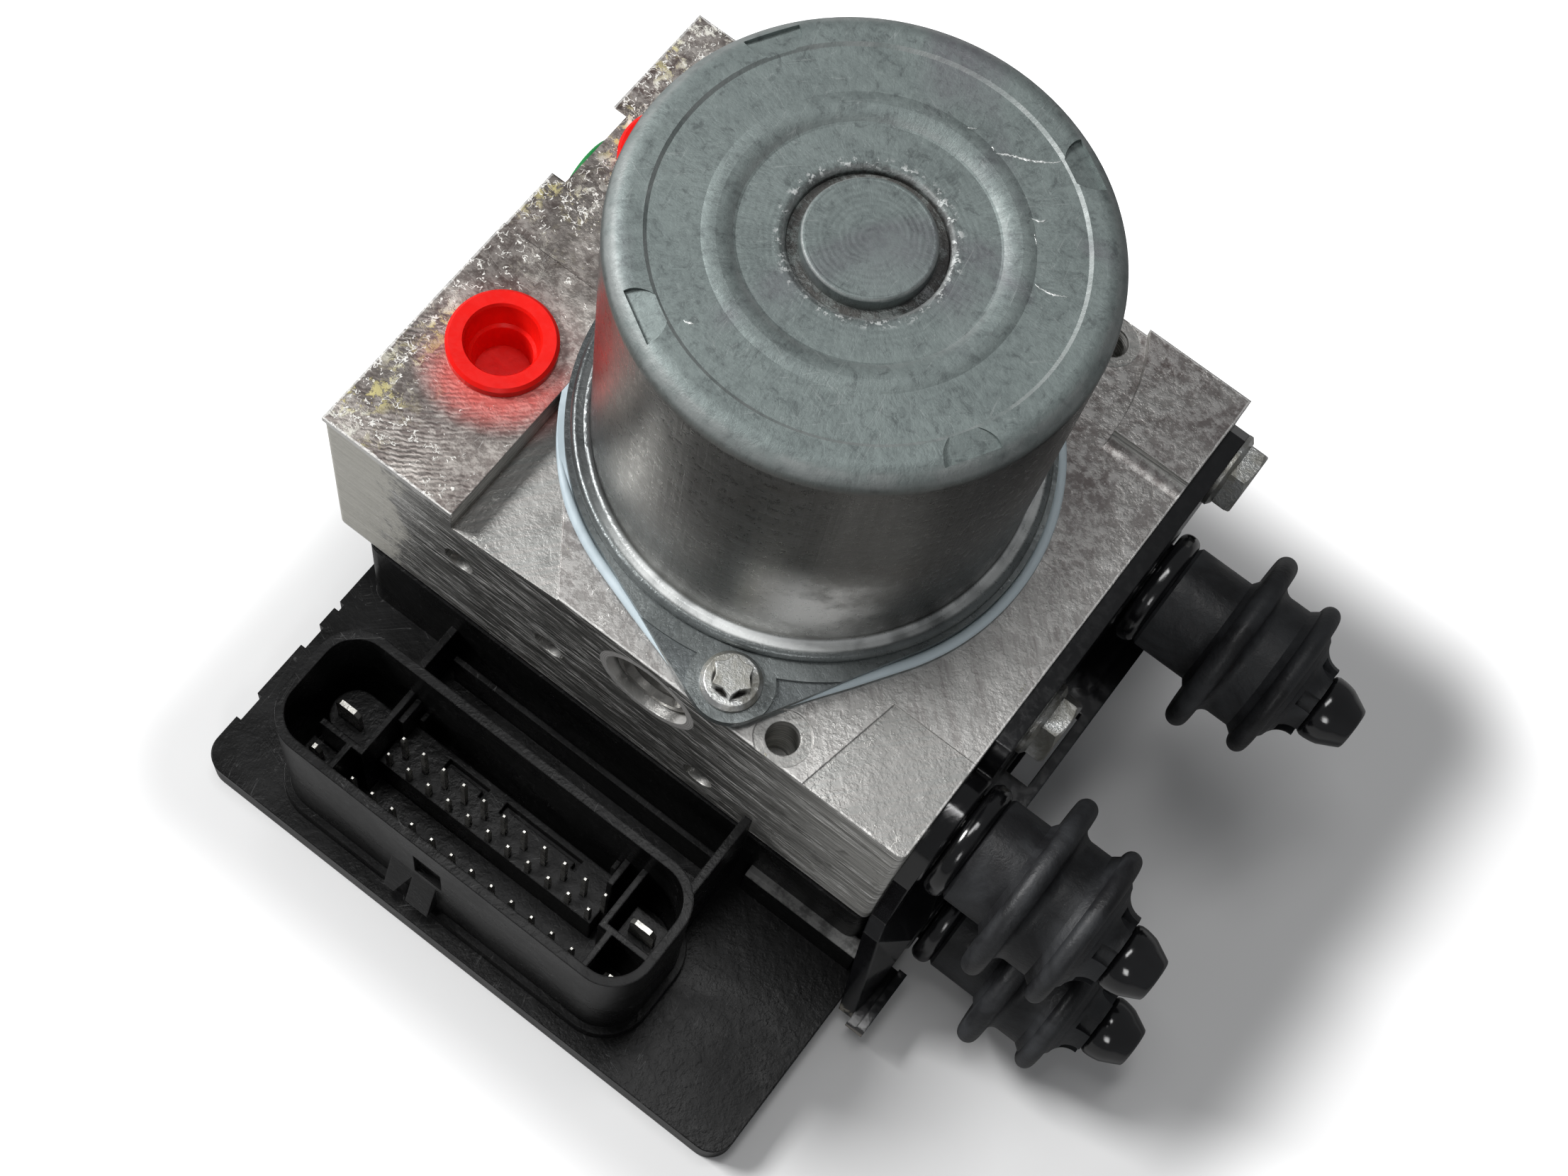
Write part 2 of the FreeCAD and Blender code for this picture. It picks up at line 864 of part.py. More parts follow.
def can_profile():
    """Outside of the drawn can from its foot bead to the centre of its top."""
    foot = motor_base + flange_thickness
    top = motor_top
    groove = boss_radius + boss_groove_width
    bend = rim_radius * (1 - math.sqrt(0.5))
    step = can_radius - step_inset
    plateau = top - step_depth
    return [
        (0, foot - flange_thickness),
        (flange_radius - 1.0, foot - flange_thickness),
        (flange_radius - 1.0, foot),
        ((flange_radius - 0.9, foot + 1.1), (flange_radius - 1.9, foot + 1.6)),
        (can_foot_radius + 0.9, foot + 1.6),
        ((can_foot_radius + 0.3, foot + 1.9), (can_foot_radius, foot + 2.6)),
        (can_radius, top - rim_radius),
        ((can_radius - bend, top - bend), (can_radius - rim_radius, top)),
        (step + 0.5, top),
        (step, plateau),
        (bead_radius + bead_width, plateau),
        ((bead_radius + bead_width * 0.5, top - 0.1), (bead_radius, top - 0.05)),
        ((bead_radius - 0.9, top - 0.2), (dish_radius + 0.3, top - dish_depth + 0.1)),
        (dish_radius, top - dish_depth),
        (groove + 0.8, top - dish_depth),
        ((groove, top - dish_depth - 0.4), (groove - 0.3, top - boss_groove_depth)),
        (boss_radius, top - boss_groove_depth),
        (boss_radius - 0.1, top - 0.5),
        ((boss_radius - 0.3, top - 0.1), (boss_radius - 0.8, top)),
        (0, top),
    ]


def rim_notch(angle):
    """Half round dent in the rim of the can, deepest along its straight outer side."""
    edge = can_radius - rim_notch_inset
    reach = rim_notch_radius + 1
    floor = motor_top - rim_notch_depth
    disc = cylinder((edge, 0, floor), Z_AXIS, rim_notch_radius, reach)
    half = disc.common(box(edge - reach, edge, -reach, reach, floor, floor + reach))
    tilt = math.degrees(math.asin(rim_notch_depth / rim_notch_radius))
    half.rotate(Vector(edge, 0, floor), Y_AXIS, tilt)
    half.rotate(Vector(0, 0, 0), Z_AXIS, angle)
    return half


def flange_pockets():
    """Lower webs of the flange on both sides of each ear."""
    floor = motor_base + flange_thickness - flange_pocket_depth
    disc = cylinder((0, 0, floor - 1), Z_AXIS, flange_pocket_radius, flange_thickness + 2)
    pockets = []
    for x, y in ear_points():
        zone = cylinder((x, y, floor), Z_AXIS, flange_pocket_radius / 2, flange_thickness + 1)
        ear = cylinder((x, y, floor - 1), Z_AXIS, ear_radius + flange_pocket_gap,
                       flange_thickness + 2)
        pockets.append(zone.cut([disc, ear]))
    return pockets


def motor_can():
    """Deep drawn steel can with its flange, open below."""
    shell = turned(can_profile())
    flange = flange_outline(flange_radius, ear_radius, flange_thickness, motor_base)
    shell = shell.fuse(flange)
    hollow = cylinder((0, 0, motor_base - 1), Z_AXIS, can_inner_radius,
                      can_roof - motor_base + 1)
    collar = ring((0, 0, can_roof - top_bearing_width), Z_AXIS, top_bearing_radius + can_wall,
                  top_bearing_radius + press_gap, top_bearing_width)
    tools = [hollow.cut(collar)] + flange_pockets()
    for x, y in ear_points():
        tools.append(cylinder((x, y, motor_base - 1), Z_AXIS, motor_screw_radius + screw_hole_gap,
                              flange_thickness + 2))
    for number in range(rim_notch_count):
        tools.append(rim_notch(rim_notch_angle + 360 / rim_notch_count * number))
    return shell.cut(tools)


def motor_seal():
    """Soft gasket whose lip shows around the motor flange."""
    lip = flange_outline(flange_radius + seal_lip, ear_radius - seal_ear_inset, seal_thickness,
                         block_top)
    tools = [cylinder((0, 0, block_top - 1), Z_AXIS, can_inner_radius, seal_thickness + 2)]
    for x, y in ear_points():
        tools.append(cylinder((x, y, block_top - 1), Z_AXIS, motor_screw_radius + screw_hole_gap,
                              seal_thickness + 2))
    tools.append(box(-block_left, -left_pad_edge, -block_front, block_back,
                     block_top - 1, block_top + seal_thickness + 1))
    return lip.cut(tools)


def motor_screw(x, y):
    """Screw with a round collar and a six pointed star head."""
    base = motor_base + flange_thickness
    collar = turned([
        (0, 0),
        (motor_screw_collar_radius, 0),
        (motor_screw_collar_radius, motor_screw_collar_height * 0.5),
        (motor_screw_collar_radius - 0.6, motor_screw_collar_height),
        (0, motor_screw_collar_height),
    ], Vector(x, y, base))
    points = []
    for number in range(12):
        radius = motor_screw_star_radius if number % 2 == 0 else motor_screw_star_radius * 0.74
        angle = math.radians(30 * number)
        points.append((x + radius * math.cos(angle), y + radius * math.sin(angle), base))
    star = prism(points, Vector(0, 0, motor_screw_star_height))
    bottom = block_top - motor_screw_depth
    shank = cylinder((x, y, bottom), Z_AXIS, motor_screw_radius - press_gap, base - bottom)
    return fused([shank, collar, star])


def motor_screws():
    return Part.makeCompound([motor_screw(x, y) for x, y in ear_points()])


def motor_shaft():
    """Stepped shaft with the eccentric seat turned on its lower end."""
    bar = cylinder((0, 0, shaft_foot_z), Z_AXIS, shaft_radius, can_roof - 1 - shaft_foot_z)
    cam = cylinder((cam_throw, 0, pump_axis - cam_height / 2), Z_AXIS, cam_radius, cam_height)
    return fused([bar, cam])


def cam_ring():
    """Bearing ring that turns on the eccentric and pushes the pistons."""
    return ring((cam_throw, 0, pump_axis - cam_height / 2), Z_AXIS, cam_ring_radius,
                cam_radius + running_clearance, cam_height)


def bearing(z, outer, width):
    """Ball bearing as one sealed piece, with a groove between its rings."""
    body = ring((0, 0, z), Z_AXIS, outer, shaft_radius + running_clearance, width)
    middle = (outer + shaft_radius) / 2
    groove = ring((0, 0, z + width - 0.6), Z_AXIS, middle + 1.0, middle - 1.0, 1)
    return body.cut(groove)


def top_bearing():
    return bearing(can_roof - top_bearing_width, top_bearing_radius, top_bearing_width)


def lower_bearing():
    return bearing(motor_base - bearing_width, bearing_radius, bearing_width)


def core_radius():
    return can_inner_radius - magnet_thickness - core_gap


def slot_bar(number, gap):
    """Room of one winding slot, narrowed by a gap on each side."""
    outer = core_radius() - slot_rim - gap
    inner = core_radius() - slot_depth + gap
    half = slot_opening / 2 - gap
    bar = box(inner, outer, -half, half, core_bottom_z, core_top_z)
    bar.rotate(Vector(0, 0, 0), Z_AXIS, 360 / slot_count * number)
    return bar


def armature_core():
    """Stack of iron sheets with slots for the windings."""
    core = ring((0, 0, core_bottom_z), Z_AXIS, core_radius(), shaft_radius + press_gap,
                core_top_z - core_bottom_z)
    slots = [slot_bar(number, 0) for number in range(slot_count)]
    return core.cut(slots)


def armature_windings():
    """Copper in the slots, joined by a round winding head at each end."""
    outer = core_radius() - winding_inset
    inner = core_radius() - slot_depth
    parts = []
    for z in (core_bottom_z - winding_overhang, core_top_z):
        parts.append(ring((0, 0, z), Z_AXIS, outer, inner, winding_overhang))
    for number in range(slot_count):
        parts.append(slot_bar(number, slot_fill_gap))
    return fused(parts)


def commutator():
    """Copper drum with a groove between each pair of bars."""
    drum = ring((0, 0, commutator_bottom_z), Z_AXIS, commutator_radius,
                shaft_radius + press_gap, commutator_height)
    grooves = []
    for number in range(slot_count):
        groove = box(commutator_radius - commutator_groove, commutator_radius + 1,
                     -commutator_groove_width / 2, commutator_groove_width / 2,
                     commutator_bottom_z, commutator_top_z)
        groove.rotate(Vector(0, 0, 0), Z_AXIS, 360 / slot_count * (number + 0.5))
        grooves.append(groove)
    return drum.cut(grooves)


def field_magnets():
    """Curved magnets held on the inside wall of the can."""
    outer = can_inner_radius
    inner = outer - magnet_thickness
    span = 360 / magnet_count - magnet_gap_angle
    magnets = []
    for number in range(magnet_count):
        outline = [(inner, magnet_bottom_z), (outer, magnet_bottom_z), (outer, magnet_top_z),
                   (inner, magnet_top_z)]
        wire = Part.makePolygon([Vector(r, 0, z) for r, z in outline + outline[:1]])
        magnet = Part.Face(wire).revolve(Vector(0, 0, 0), Z_AXIS, span)
        magnet.rotate(Vector(0, 0, 0), Z_AXIS, 360 / magnet_count * number + magnet_gap_angle / 2)
        magnets.append(magnet)
    return Part.makeCompound(magnets)


def brush_box(side, grow):
    """Room of one brush, with walls when it is grown."""
    near = commutator_radius + fit_gap
    low = commutator_bottom_z + brush_box_rise - grow
    high = low + brush_height + 2 * grow
    width = brush_width / 2 + grow
    x0 = near if grow == 0 else near + brush_box_setback
    x1 = near + brush_length + brush_spring_room + grow
    room = box(x0, x1, -width, width, low, high)
    if side < 0:
        room.rotate(Vector(0, 0, 0), Z_AXIS, 180)
    return room


def brush_holder():
    """Moulded plate in the mouth of the can, with a bearing hub and two brush boxes."""
    outer = can_inner_radius - fit_gap
    plate = cylinder((0, 0, block_top), Z_AXIS, outer, holder_thickness)
    hub = cylinder((0, 0, motor_base - bearing_width), Z_AXIS, holder_hub_radius, bearing_width)
    boxes = []
    for side in (-1, 1):
        walls = brush_box(side, brush_box_wall)
        boxes.append(walls)
        near = commutator_radius + 2 * brush_box_setback
        far = near + brush_length
        foot = box(near, far, -brush_width / 2, brush_width / 2, block_top + holder_thickness,
                   commutator_bottom_z)
        if side < 0:
            foot.rotate(Vector(0, 0, 0), Z_AXIS, 180)
        boxes.append(foot)
    body = fused([plate, hub] + boxes)
    tools = [
        cylinder((0, 0, motor_base - bearing_width), Z_AXIS, bearing_radius + press_gap,
                 bearing_width),
        cylinder((0, 0, block_top), Z_AXIS, shaft_radius + 2, holder_thickness + 1),
    ]
    tools += [brush_box(side, 0) for side in (-1, 1)]
    return body.cut(tools)


def carbon_brushes():
    brushes = []
    for side in (-1, 1):
        near = commutator_radius + running_clearance
        low = commutator_bottom_z + brush_box_rise + press_gap
        brush = box(near, near + brush_length, -brush_width / 2 + press_gap,
                    brush_width / 2 - press_gap, low, low + brush_height - 2 * press_gap)
        if side < 0:
            brush.rotate(Vector(0, 0, 0), Z_AXIS, 180)
        brushes.append(brush)
    return Part.makeCompound(brushes)


def brush_springs():
    """Springs that press the brushes on the commutator."""
    springs = []
    start = commutator_radius + running_clearance + brush_length
    end = commutator_radius + fit_gap + brush_length + brush_spring_room
    z = commutator_bottom_z + brush_box_rise + brush_height / 2
    for side in (-1, 1):
        spring = coil_spring(brush_spring_radius, brush_spring_wire, end - start, 4)
        spring.rotate(Vector(0, 0, 0), Y_AXIS, 90)
        spring.translate(Vector(start, 0, z))
        if side < 0:
            spring.rotate(Vector(0, 0, 0), Z_AXIS, 180)
        springs.append(spring)
    return Part.makeCompound(springs)


def motor_contacts():
    """Two flat contacts from the brush holder down to the circuit board."""
    pieces = []
    for side in (-1, 1):
        y = contact_y + side * contact_gap / 2
        x = contact_x
        pieces.append(box(x - contact_width / 2, x + contact_width / 2,
                          y - contact_thickness / 2, y + contact_thickness / 2,
                          board_top, block_top))
    return Part.makeCompound(pieces)


# Pump


def pump_piston(side):
    """Hardened piston, hollow at its spring end, a hair clear of the cam ring."""
    x = pump_offset if side < 0 else -pump_offset
    nose = cam_throw + cam_ring_radius + piston_nose_gap
    profile = [
        (0, 0),
        (piston_radius - 0.5, 0),
        (piston_radius, 0.5),
        (piston_radius, piston_length),
        (piston_recess_radius, piston_length),
        (piston_recess_radius, piston_length - piston_recess_depth),
        (0, piston_length - piston_recess_depth),
    ]
    return turned(profile, Vector(x, side * nose, pump_axis), Y_AXIS * side)


def pump_sleeves():
    """Closed cylinders that guide the pistons."""
    sleeves = []
    start = math.sqrt(cam_chamber_radius ** 2 - (pump_offset - sleeve_radius) ** 2) + 0.5
    for side in (-1, 1):
        x = pump_offset if side < 0 else -pump_offset
        face = block_front if side < 0 else block_back
        end = face - pump_plug_thickness - pump_plug_recess
        body = cylinder((x, side * start, pump_axis), Y_AXIS * side, sleeve_radius - press_gap,
                        end - start)
        bore = cylinder((x, side * (start - 1), pump_axis), Y_AXIS * side,
                        piston_radius + running_clearance, sleeve_end - sleeve_wall - start + 1)
        sleeves.append(body.cut(bore))
    return Part.makeCompound(sleeves)


def pump_spring(side):
    """Spring between the hollow of a piston and the end of its sleeve."""
    x = pump_offset if side < 0 else -pump_offset
    nose = cam_throw + cam_ring_radius + piston_nose_gap
    start = nose + piston_length - piston_recess_depth
    spring = coil_spring(pump_spring_radius, pump_spring_wire,
                         sleeve_end - sleeve_wall - start, 6)
    spring.rotate(Vector(0, 0, 0), X_AXIS, -90 * side)
    spring.translate(Vector(x, side * start, pump_axis))
    return spring


# Valves and accumulators


def valve(x, y):
    """Valve cartridge staked in the block, with the slim dome that its coil sits on."""
    low = block_bottom - valve_dome_height
    profile = [
        (0, low),
        (valve_dome_radius - 0.8, low),
        (valve_dome_radius, low + 0.8),
        (valve_dome_radius, block_bottom),
        (valve_radius - press_gap, block_bottom),
        (valve_radius - press_gap, block_bottom + valve_depth - 2),
        (valve_radius - 1.6, block_bottom + valve_depth - press_gap),
        (0, block_bottom + valve_depth - press_gap),
    ]
    return turned(profile, Vector(x, y, 0))


def valve_row(y):
    return Part.makeCompound([valve(x, y) for x in valve_x])


def coil_sites():
    return [(x, y) for x in valve_x for y in (inlet_row_y, outlet_row_y)]


def solenoid_coils():
    """Wound coils that slip over the valve domes."""
    coils = []
    for x, y in coil_sites():
        top = coil_bottom_z + coil_height
        wound = coil_outer_radius - 0.8
        inner = valve_dome_radius + fit_gap
        coils.append(turned([
            (inner, coil_bottom_z),
            (coil_outer_radius, coil_bottom_z),
            (coil_outer_radius, coil_bottom_z + coil_flange),
            (wound, coil_bottom_z + coil_flange),
            (wound, top - coil_flange),
            (coil_outer_radius, top - coil_flange),
            (coil_outer_radius, top),
            (inner, top),
        ], Vector(x, y, 0)))
    return Part.makeCompound(coils)


def coil_frames():
    """Bent steel straps that close the field around each coil."""
    frames = []
    for x, y in coil_sites():
        reach = coil_outer_radius + fit_gap
        top = coil_bottom_z + coil_height
        front = y - frame_width / 2
        back = y + frame_width / 2
        plate = box(x - reach - frame_thickness, x + reach + frame_thickness, front, back,
                    top, top + frame_thickness)
        left = box(x - reach - frame_thickness, x - reach, front, back, coil_bottom_z, top)
        right = box(x + reach, x + reach + frame_thickness, front, back, coil_bottom_z, top)
        hole = cylinder((x, y, top - 1), Z_AXIS, valve_dome_radius + fit_gap, 3)
        frames.append(fused([plate, left, right]).cut(hole))
    return Part.makeCompound(frames)


def accumulator_piston(side):
    """Cup shaped piston with a seal groove, resting at the top of its bore."""
    radius = accumulator_radius - running_clearance
    top = block_bottom + accumulator_depth - fit_gap
    low = top - accumulator_piston_height
    profile = [
        (0, top),
        (radius - 0.6, top),
        (radius, top - 0.6),
        (radius, top - 2),
        (radius - 0.9, top - 2),
        (radius - 0.9, top - 4),
        (radius, top - 4),
        (radius, low),
        (radius - 1.2, low),
        (radius - 1.2, top - 4.4),
        (radius - 2.0, top - 4.4),
        (radius - 2.0, top - 1.6),
        (0, top - 1.6),
    ]
    return turned(profile, Vector(side * accumulator_x, accumulator_y, 0))


def accumulator_spring(side):
    """Spring between an accumulator's cap and its piston."""
    low = block_bottom + accumulator_cap_thickness
    high = block_bottom + accumulator_depth - fit_gap - 1.6
    spring = coil_spring(accumulator_spring_radius - accumulator_spring_wire,
                         accumulator_spring_wire, high - low, 4)
    spring.translate(Vector(side * accumulator_x, accumulator_y, low))
    return spring


def accumulator_caps():
    """Pressed cups that close the accumulator bores."""
    caps = []
    for side in (-1, 1):
        place = (side * accumulator_x, accumulator_y, block_bottom)
        disc = cylinder(place, Z_AXIS, accumulator_radius - press_gap, accumulator_cap_thickness)
        vent = cylinder((place[0], place[1], block_bottom - 1), Z_AXIS, 1.2, 5)
        caps.append(disc.cut(vent))
    return Part.makeCompound(caps)


# Controller


def socket_shell():
    """Tall oval-cornered collar of the plug socket with its flared foot."""
    outer = rounded_box(-socket_left, socket_right, -socket_front, -socket_rear,
                        plate_top - plate_roof, socket_rim, socket_corner)
    s = socket_skirt
    foot = rounded_box(-socket_left - s, socket_right + s, -socket_front - s, -socket_rear + s,
                       plate_top - plate_roof, plate_top + socket_skirt_height, socket_corner + s)
    return fused([outer, foot])


def socket_room():
    """Inside of the socket above its floor."""
    w = socket_wall
    return rounded_box(-socket_left + w, socket_right - w, -socket_front + w, -socket_rear - w,
                       socket_floor, socket_rim + 1, socket_corner - w)


def socket_inside():
    """Deck, pedestals and dividing walls that stand on the socket floor."""
    low = socket_floor
    w = cell_wall
    rear = -socket_rear - socket_wall
    front = -socket_front + socket_wall
    right = socket_right - socket_wall
    deck = box(-deck_left, deck_right, -deck_front, -deck_rear, low, deck_top)
    slots = []
    for x0, x1 in deck_slots:
        bottom = deck_top - deck_slot_depth
        slots.append(box(x0, x1, -slot_rear - slot_width, -slot_rear, bottom, deck_top + 1))
        for x in (x0, x1 - slot_width):
            slots.append(box(x, x + slot_width, -slot_rear - slot_leg, -slot_rear, bottom,
                             deck_top + 1))
    deck = deck.cut(slots)
    x, y = left_large_blade
    r = pedestal_radius
    drum = cylinder((x, y + pedestal_shift, low), Z_AXIS, r, pedestal_top - low)
    flat = box(x, x + r, y - pedestal_front, y + pedestal_shift + r, low, pedestal_top)
    cell_rear = -left_cell_y - left_cell_back
    round_pedestal = fused([drum, flat]).cut(box(x - r - 1, x + r + 1, cell_rear, -left_cell_y,
                                                 low - 1, pedestal_top + 1))
    x, y = right_large_blade
    square_pedestal = box(x - pedestal_back, right, y - pedestal_front, y + pedestal_back, low,
                          pedestal_top)
    x, y = left_small_blade
    small_step = box(x - pedestal_front, -small_cell_x, y - pedestal_front,
                     y + small_blade_width, low, small_cell_top)
    walls = [
        box(-left_cell_x, -left_cell_x + w, -left_cell_y - w, rear, low, cell_wall_top),
        box(-socket_left + left_cell_back + pedestal_shift, -left_cell_x, -left_cell_y - w,
            -left_cell_y, low, cell_wall_top),
        box(-small_cell_x, -small_cell_x + w, front, -left_cell_y, low, cell_wall_top),
        box(right_cell_x, right_cell_x + w, -right_cell_y - w, rear, low, cell_wall_top),
        box(right_cell_x, right, -right_cell_y - w, -right_cell_y, low, cell_wall_top),
        box(right_cell_x + spline_inset, right_cell_x + spline_inset + w, front, -right_cell_y,
            low, cell_wall_top),
    ]
    key_front = -deck_front + key_front_inset
    key_top = cell_wall_top - key_drop
    spline_top = cell_wall_top - spline_drop
    x = -deck_left + spline_inset
    x2 = deck_right - spline_inset - spline_width
    keys = [
        box(-deck_left, -deck_left + w, key_front, rear, low, key_top),
        box(deck_right - w, deck_right, key_front, rear, low, key_top),
        box(x, x + spline_width, -deck_rear, rear, low, spline_top),
        box(x2, x2 + spline_width, -deck_rear, rear, low, spline_top),
    ]
    return [deck, round_pedestal, square_pedestal, small_step] + walls + keys


def housing_box():
    """Walled space for the coils, under the block."""
    w = housing_wall
    outer = rounded_box(housing_left, housing_right, housing_front, housing_back, plate_ceiling,
                        block_bottom - seal_height, housing_corner)
    room = rounded_box(housing_left + w, housing_right - w, housing_front + w, housing_back - w,
                       cover_thickness, block_bottom, housing_corner - w)
    columns = []
    for x, y in case_screws:
        column = cylinder((x, y, cover_thickness), Z_AXIS, case_column_radius,
                          block_bottom - seal_height - cover_thickness)
        columns.append(column)
    return outer, room, columns


def housing_ribs():
    """Ledge, rails and fins on the plate between the socket and the block."""
    front = housing_front
    rear = -socket_rear
    fin = rail_right - fin_inset
    nose = front - ledge_depth + ledge_round
    ledge_top = plate_top + ledge_height
    bead = cylinder((ledge_left, nose, ledge_top - ledge_round), X_AXIS, ledge_round,
                    ledge_right - ledge_left)
    ledge = fused([
        box(ledge_left, ledge_right, front - ledge_depth, front + 1, plate_ceiling,
            ledge_top - ledge_round),
        box(ledge_left, ledge_right, nose, front + 1, plate_ceiling, ledge_top),
        bead,
    ])
    return [
        box(-rail_left, rail_right, rear - 1, rear + rail_depth, plate_ceiling,
            plate_top + rail_height),
        box(-rail_left, -rail_left + rail_thickness, rear - 1, front + 1, plate_ceiling,
            plate_top + rail_height),
        box(fin, fin + fin_thickness, rear - 1, front, plate_ceiling, socket_rim - fin_drop),
        box(-bar_left, fin + fin_inset, front - bar_gap - bar_thickness, front - bar_gap,
            plate_ceiling, plate_top + bar_height),
        ledge,
    ]


def socket_latch():
    """Ramp on the front of the socket that the plug's lever hooks under."""
    front = -socket_front
    low = plate_top + latch_low
    high = plate_top + latch_high
    x = -latch_left
    ramp = [
        (x, front + 1, low),
        (x, front - latch_reach, low),
        (x, front + 0.2, high),
        (x, front + 1, high),
    ]
    wedge = prism(ramp, Vector(latch_width, 0, 0))
    middle = x + latch_width / 2
    notch = prism([(middle, front - 3, low - 1), (middle - latch_reach, front - 3, low - 1),
                   (middle, front - 3, low + latch_width)], Vector(0, 5, 0))
    window = box(latch_window[0], latch_window[1], front - 1, front + socket_wall * 0.7,
                 latch_window_low, latch_window_high)
    return wedge.cut(notch), window


def pin_sites():
    """Place and tip height of every signal pin."""
    sites = []
    for row in (row_a, row_b, row_c):
        for number in range(row["count"]):
            sites.append((row["first"] + pin_pitch * number, row["y"], row["tip"]))
    return sites


def signal_pin(x, y, tip):
    """Square pin with a blunt pyramid end."""
    h = pin_size / 2
    k = h * 0.45
    stem = box(x - h, x + h, y - h, y + h, board_top, tip - pin_size)
    low = Part.makePolygon([Vector(x - h, y - h, tip - pin_size),
                            Vector(x + h, y - h, tip - pin_size),
                            Vector(x + h, y + h, tip - pin_size),
                            Vector(x - h, y + h, tip - pin_size),
                            Vector(x - h, y - h, tip - pin_size)])
    high = Part.makePolygon([Vector(x - k, y - k, tip), Vector(x + k, y - k, tip),
                             Vector(x + k, y + k, tip), Vector(x - k, y + k, tip),
                             Vector(x - k, y - k, tip)])
    point = Part.makeLoft([low, high], True, True)
    return stem.fuse(point)


def signal_pins():
    return Part.makeCompound([signal_pin(x, y, tip) for x, y, tip in pin_sites()])


def blade(site, width, tip):
    """Flat power contact with a tapered end."""
    x, y = site
    h = width / 2
    t = blade_thickness
    outline = [
        (x - h, y - t / 2, board_top),
        (x + h, y - t / 2, board_top),
        (x + h, y - t / 2, tip - 1.0),
        (x + h - 0.8, y - t / 2, tip),
        (x - h + 0.8, y - t / 2, tip),
        (x - h, y - t / 2, tip - 1.0),
    ]
    return prism(outline, Vector(0, t, 0))


def power_blades():
    return Part.makeCompound([
        blade(left_large_blade, large_blade_width, large_blade_tip),
        blade(right_large_blade, large_blade_width, large_blade_tip),
        blade(left_small_blade, small_blade_width, small_blade_tip),
        blade(right_small_blade, small_blade_width, small_blade_tip),
    ])


def controller_housing():
    """Moulded case: plate, coil housing, plug socket and everything inside the socket."""
    plate = rounded_box(-plate_left, plate_right, -plate_front, plate_back, cover_thickness,
                        plate_top, plate_corner)
    w = plate_wall
    under = rounded_box(-plate_left + w, plate_right - w, -plate_front + w, plate_back - w,
                        cover_thickness - 1, plate_ceiling, plate_corner - w)
    outer, room, columns = housing_box()
    wedge, window = socket_latch()
    shell = fused([plate, outer, socket_shell(), wedge] + housing_ribs())
    shell = shell.cut([under, room, socket_room(), window])
    body = fused([shell] + socket_inside() + columns)
    tools = [signal_pins(), power_blades()]
    for x, y in case_screws:
        tools.append(cylinder((x, y, cover_thickness - 1), Z_AXIS,
                              case_screw_radius + screw_hole_gap, controller_height))
    return body.cut(tools + notch_tools())


def notch_tools():
    """Shallow notches in the left edge of the plate and its cover."""
    return [box(-plate_left - 1, -plate_left + plate_notch_depth, y0, y1, -1, plate_top + 1)
            for y0, y1 in plate_notches]


def controller_cover():
    """Flat lid welded under the case, with counterbores for the case screws."""
    lid = rounded_box(-plate_left, plate_right, -plate_front, plate_back, 0, cover_thickness,
                      plate_corner)
    tools = notch_tools()
    for x, y in case_screws:
        tools.append(cylinder((x, y, -1), Z_AXIS, case_screw_head_radius + fit_gap,
                              cover_thickness + 2))
    return lid.cut(tools)


def controller_seal():
    """Gasket between the coil housing and the underside of the block."""
    near = (housing_wall - seal_width) / 2
    far = near + seal_width
    low = block_bottom - seal_height
    outer = rounded_box(housing_left + near, housing_right - near, housing_front + near,
                        housing_back - near, low, block_bottom, housing_corner - near)
    inner = rounded_box(housing_left + far, housing_right - far, housing_front + far,
                        housing_back - far, low, block_bottom, housing_corner - far)
    return outer.cut(inner)


def case_screw(x, y):
    """Long screw through the case into the block, its head sunk in the cover."""
    seat = cover_thickness
    foot = seat - case_screw_head_height
    top = block_bottom + case_screw_grip - case_screw_end_gap
    shank = cylinder((x, y, seat), Z_AXIS, case_screw_radius - press_gap, top - seat)
    head = cylinder((x, y, foot), Z_AXIS, case_screw_head_radius, case_screw_head_height)
    socket = cylinder((x, y, foot), Z_AXIS, case_screw_socket_radius, case_screw_socket_depth)
    return fused([head, shank]).cut(socket)


def controller_screws():
    return Part.makeCompound([case_screw(x, y) for x, y in case_screws])


def circuit_board():
    """Board on the floor of the case, cut away around the screw columns."""
    inset = plate_wall + board_side_gap
    board = rounded_box(-plate_left + inset, plate_right - inset, -plate_front + inset,
                        plate_back - inset, board_bottom, board_top, board_corner)
    tools = [cylinder((x, y, 0), Z_AXIS, case_column_radius + board_column_gap, plate_top)
             for x, y in case_screws]
    return board.cut(tools)


def board_parts():
    """Processor, driver chips and capacitors on top of the board, under the coils."""
    low = board_top
    chips = [box(x0, x1, y0, y1, low, low + height) for x0, x1, y0, y1, height in board_chips]
    cans = [cylinder((x, y, low), Z_AXIS, radius, height)
            for x, y, radius, height in board_capacitors]
    return Part.makeCompound(chips + cans)


# Bracket


def side_plate():
    """Upright plate against the block. Its top edge drops around the front mount."""
    x = block_right
    shoulder = upper_mounts_z + eye_shoulder
    return prism([
        (x, -bracket_front, bracket_bottom),
        (x, shelf_back, bracket_bottom),
        (x, bracket_back, back_tab_bottom),
        (x, bracket_back, bracket_top - bracket_chamfer),
        (x, bracket_back - bracket_chamfer, bracket_top),
        (x, front_mount_y + eye_shoulder_back, bracket_top),
        (x, front_mount_y + eye_shoulder_half, shoulder),
        (x, front_mount_y - eye_shoulder_half, shoulder),
        (x, -bracket_front, upper_mounts_z - eye_corner_drop),
    ], Vector(sheet, 0, 0))


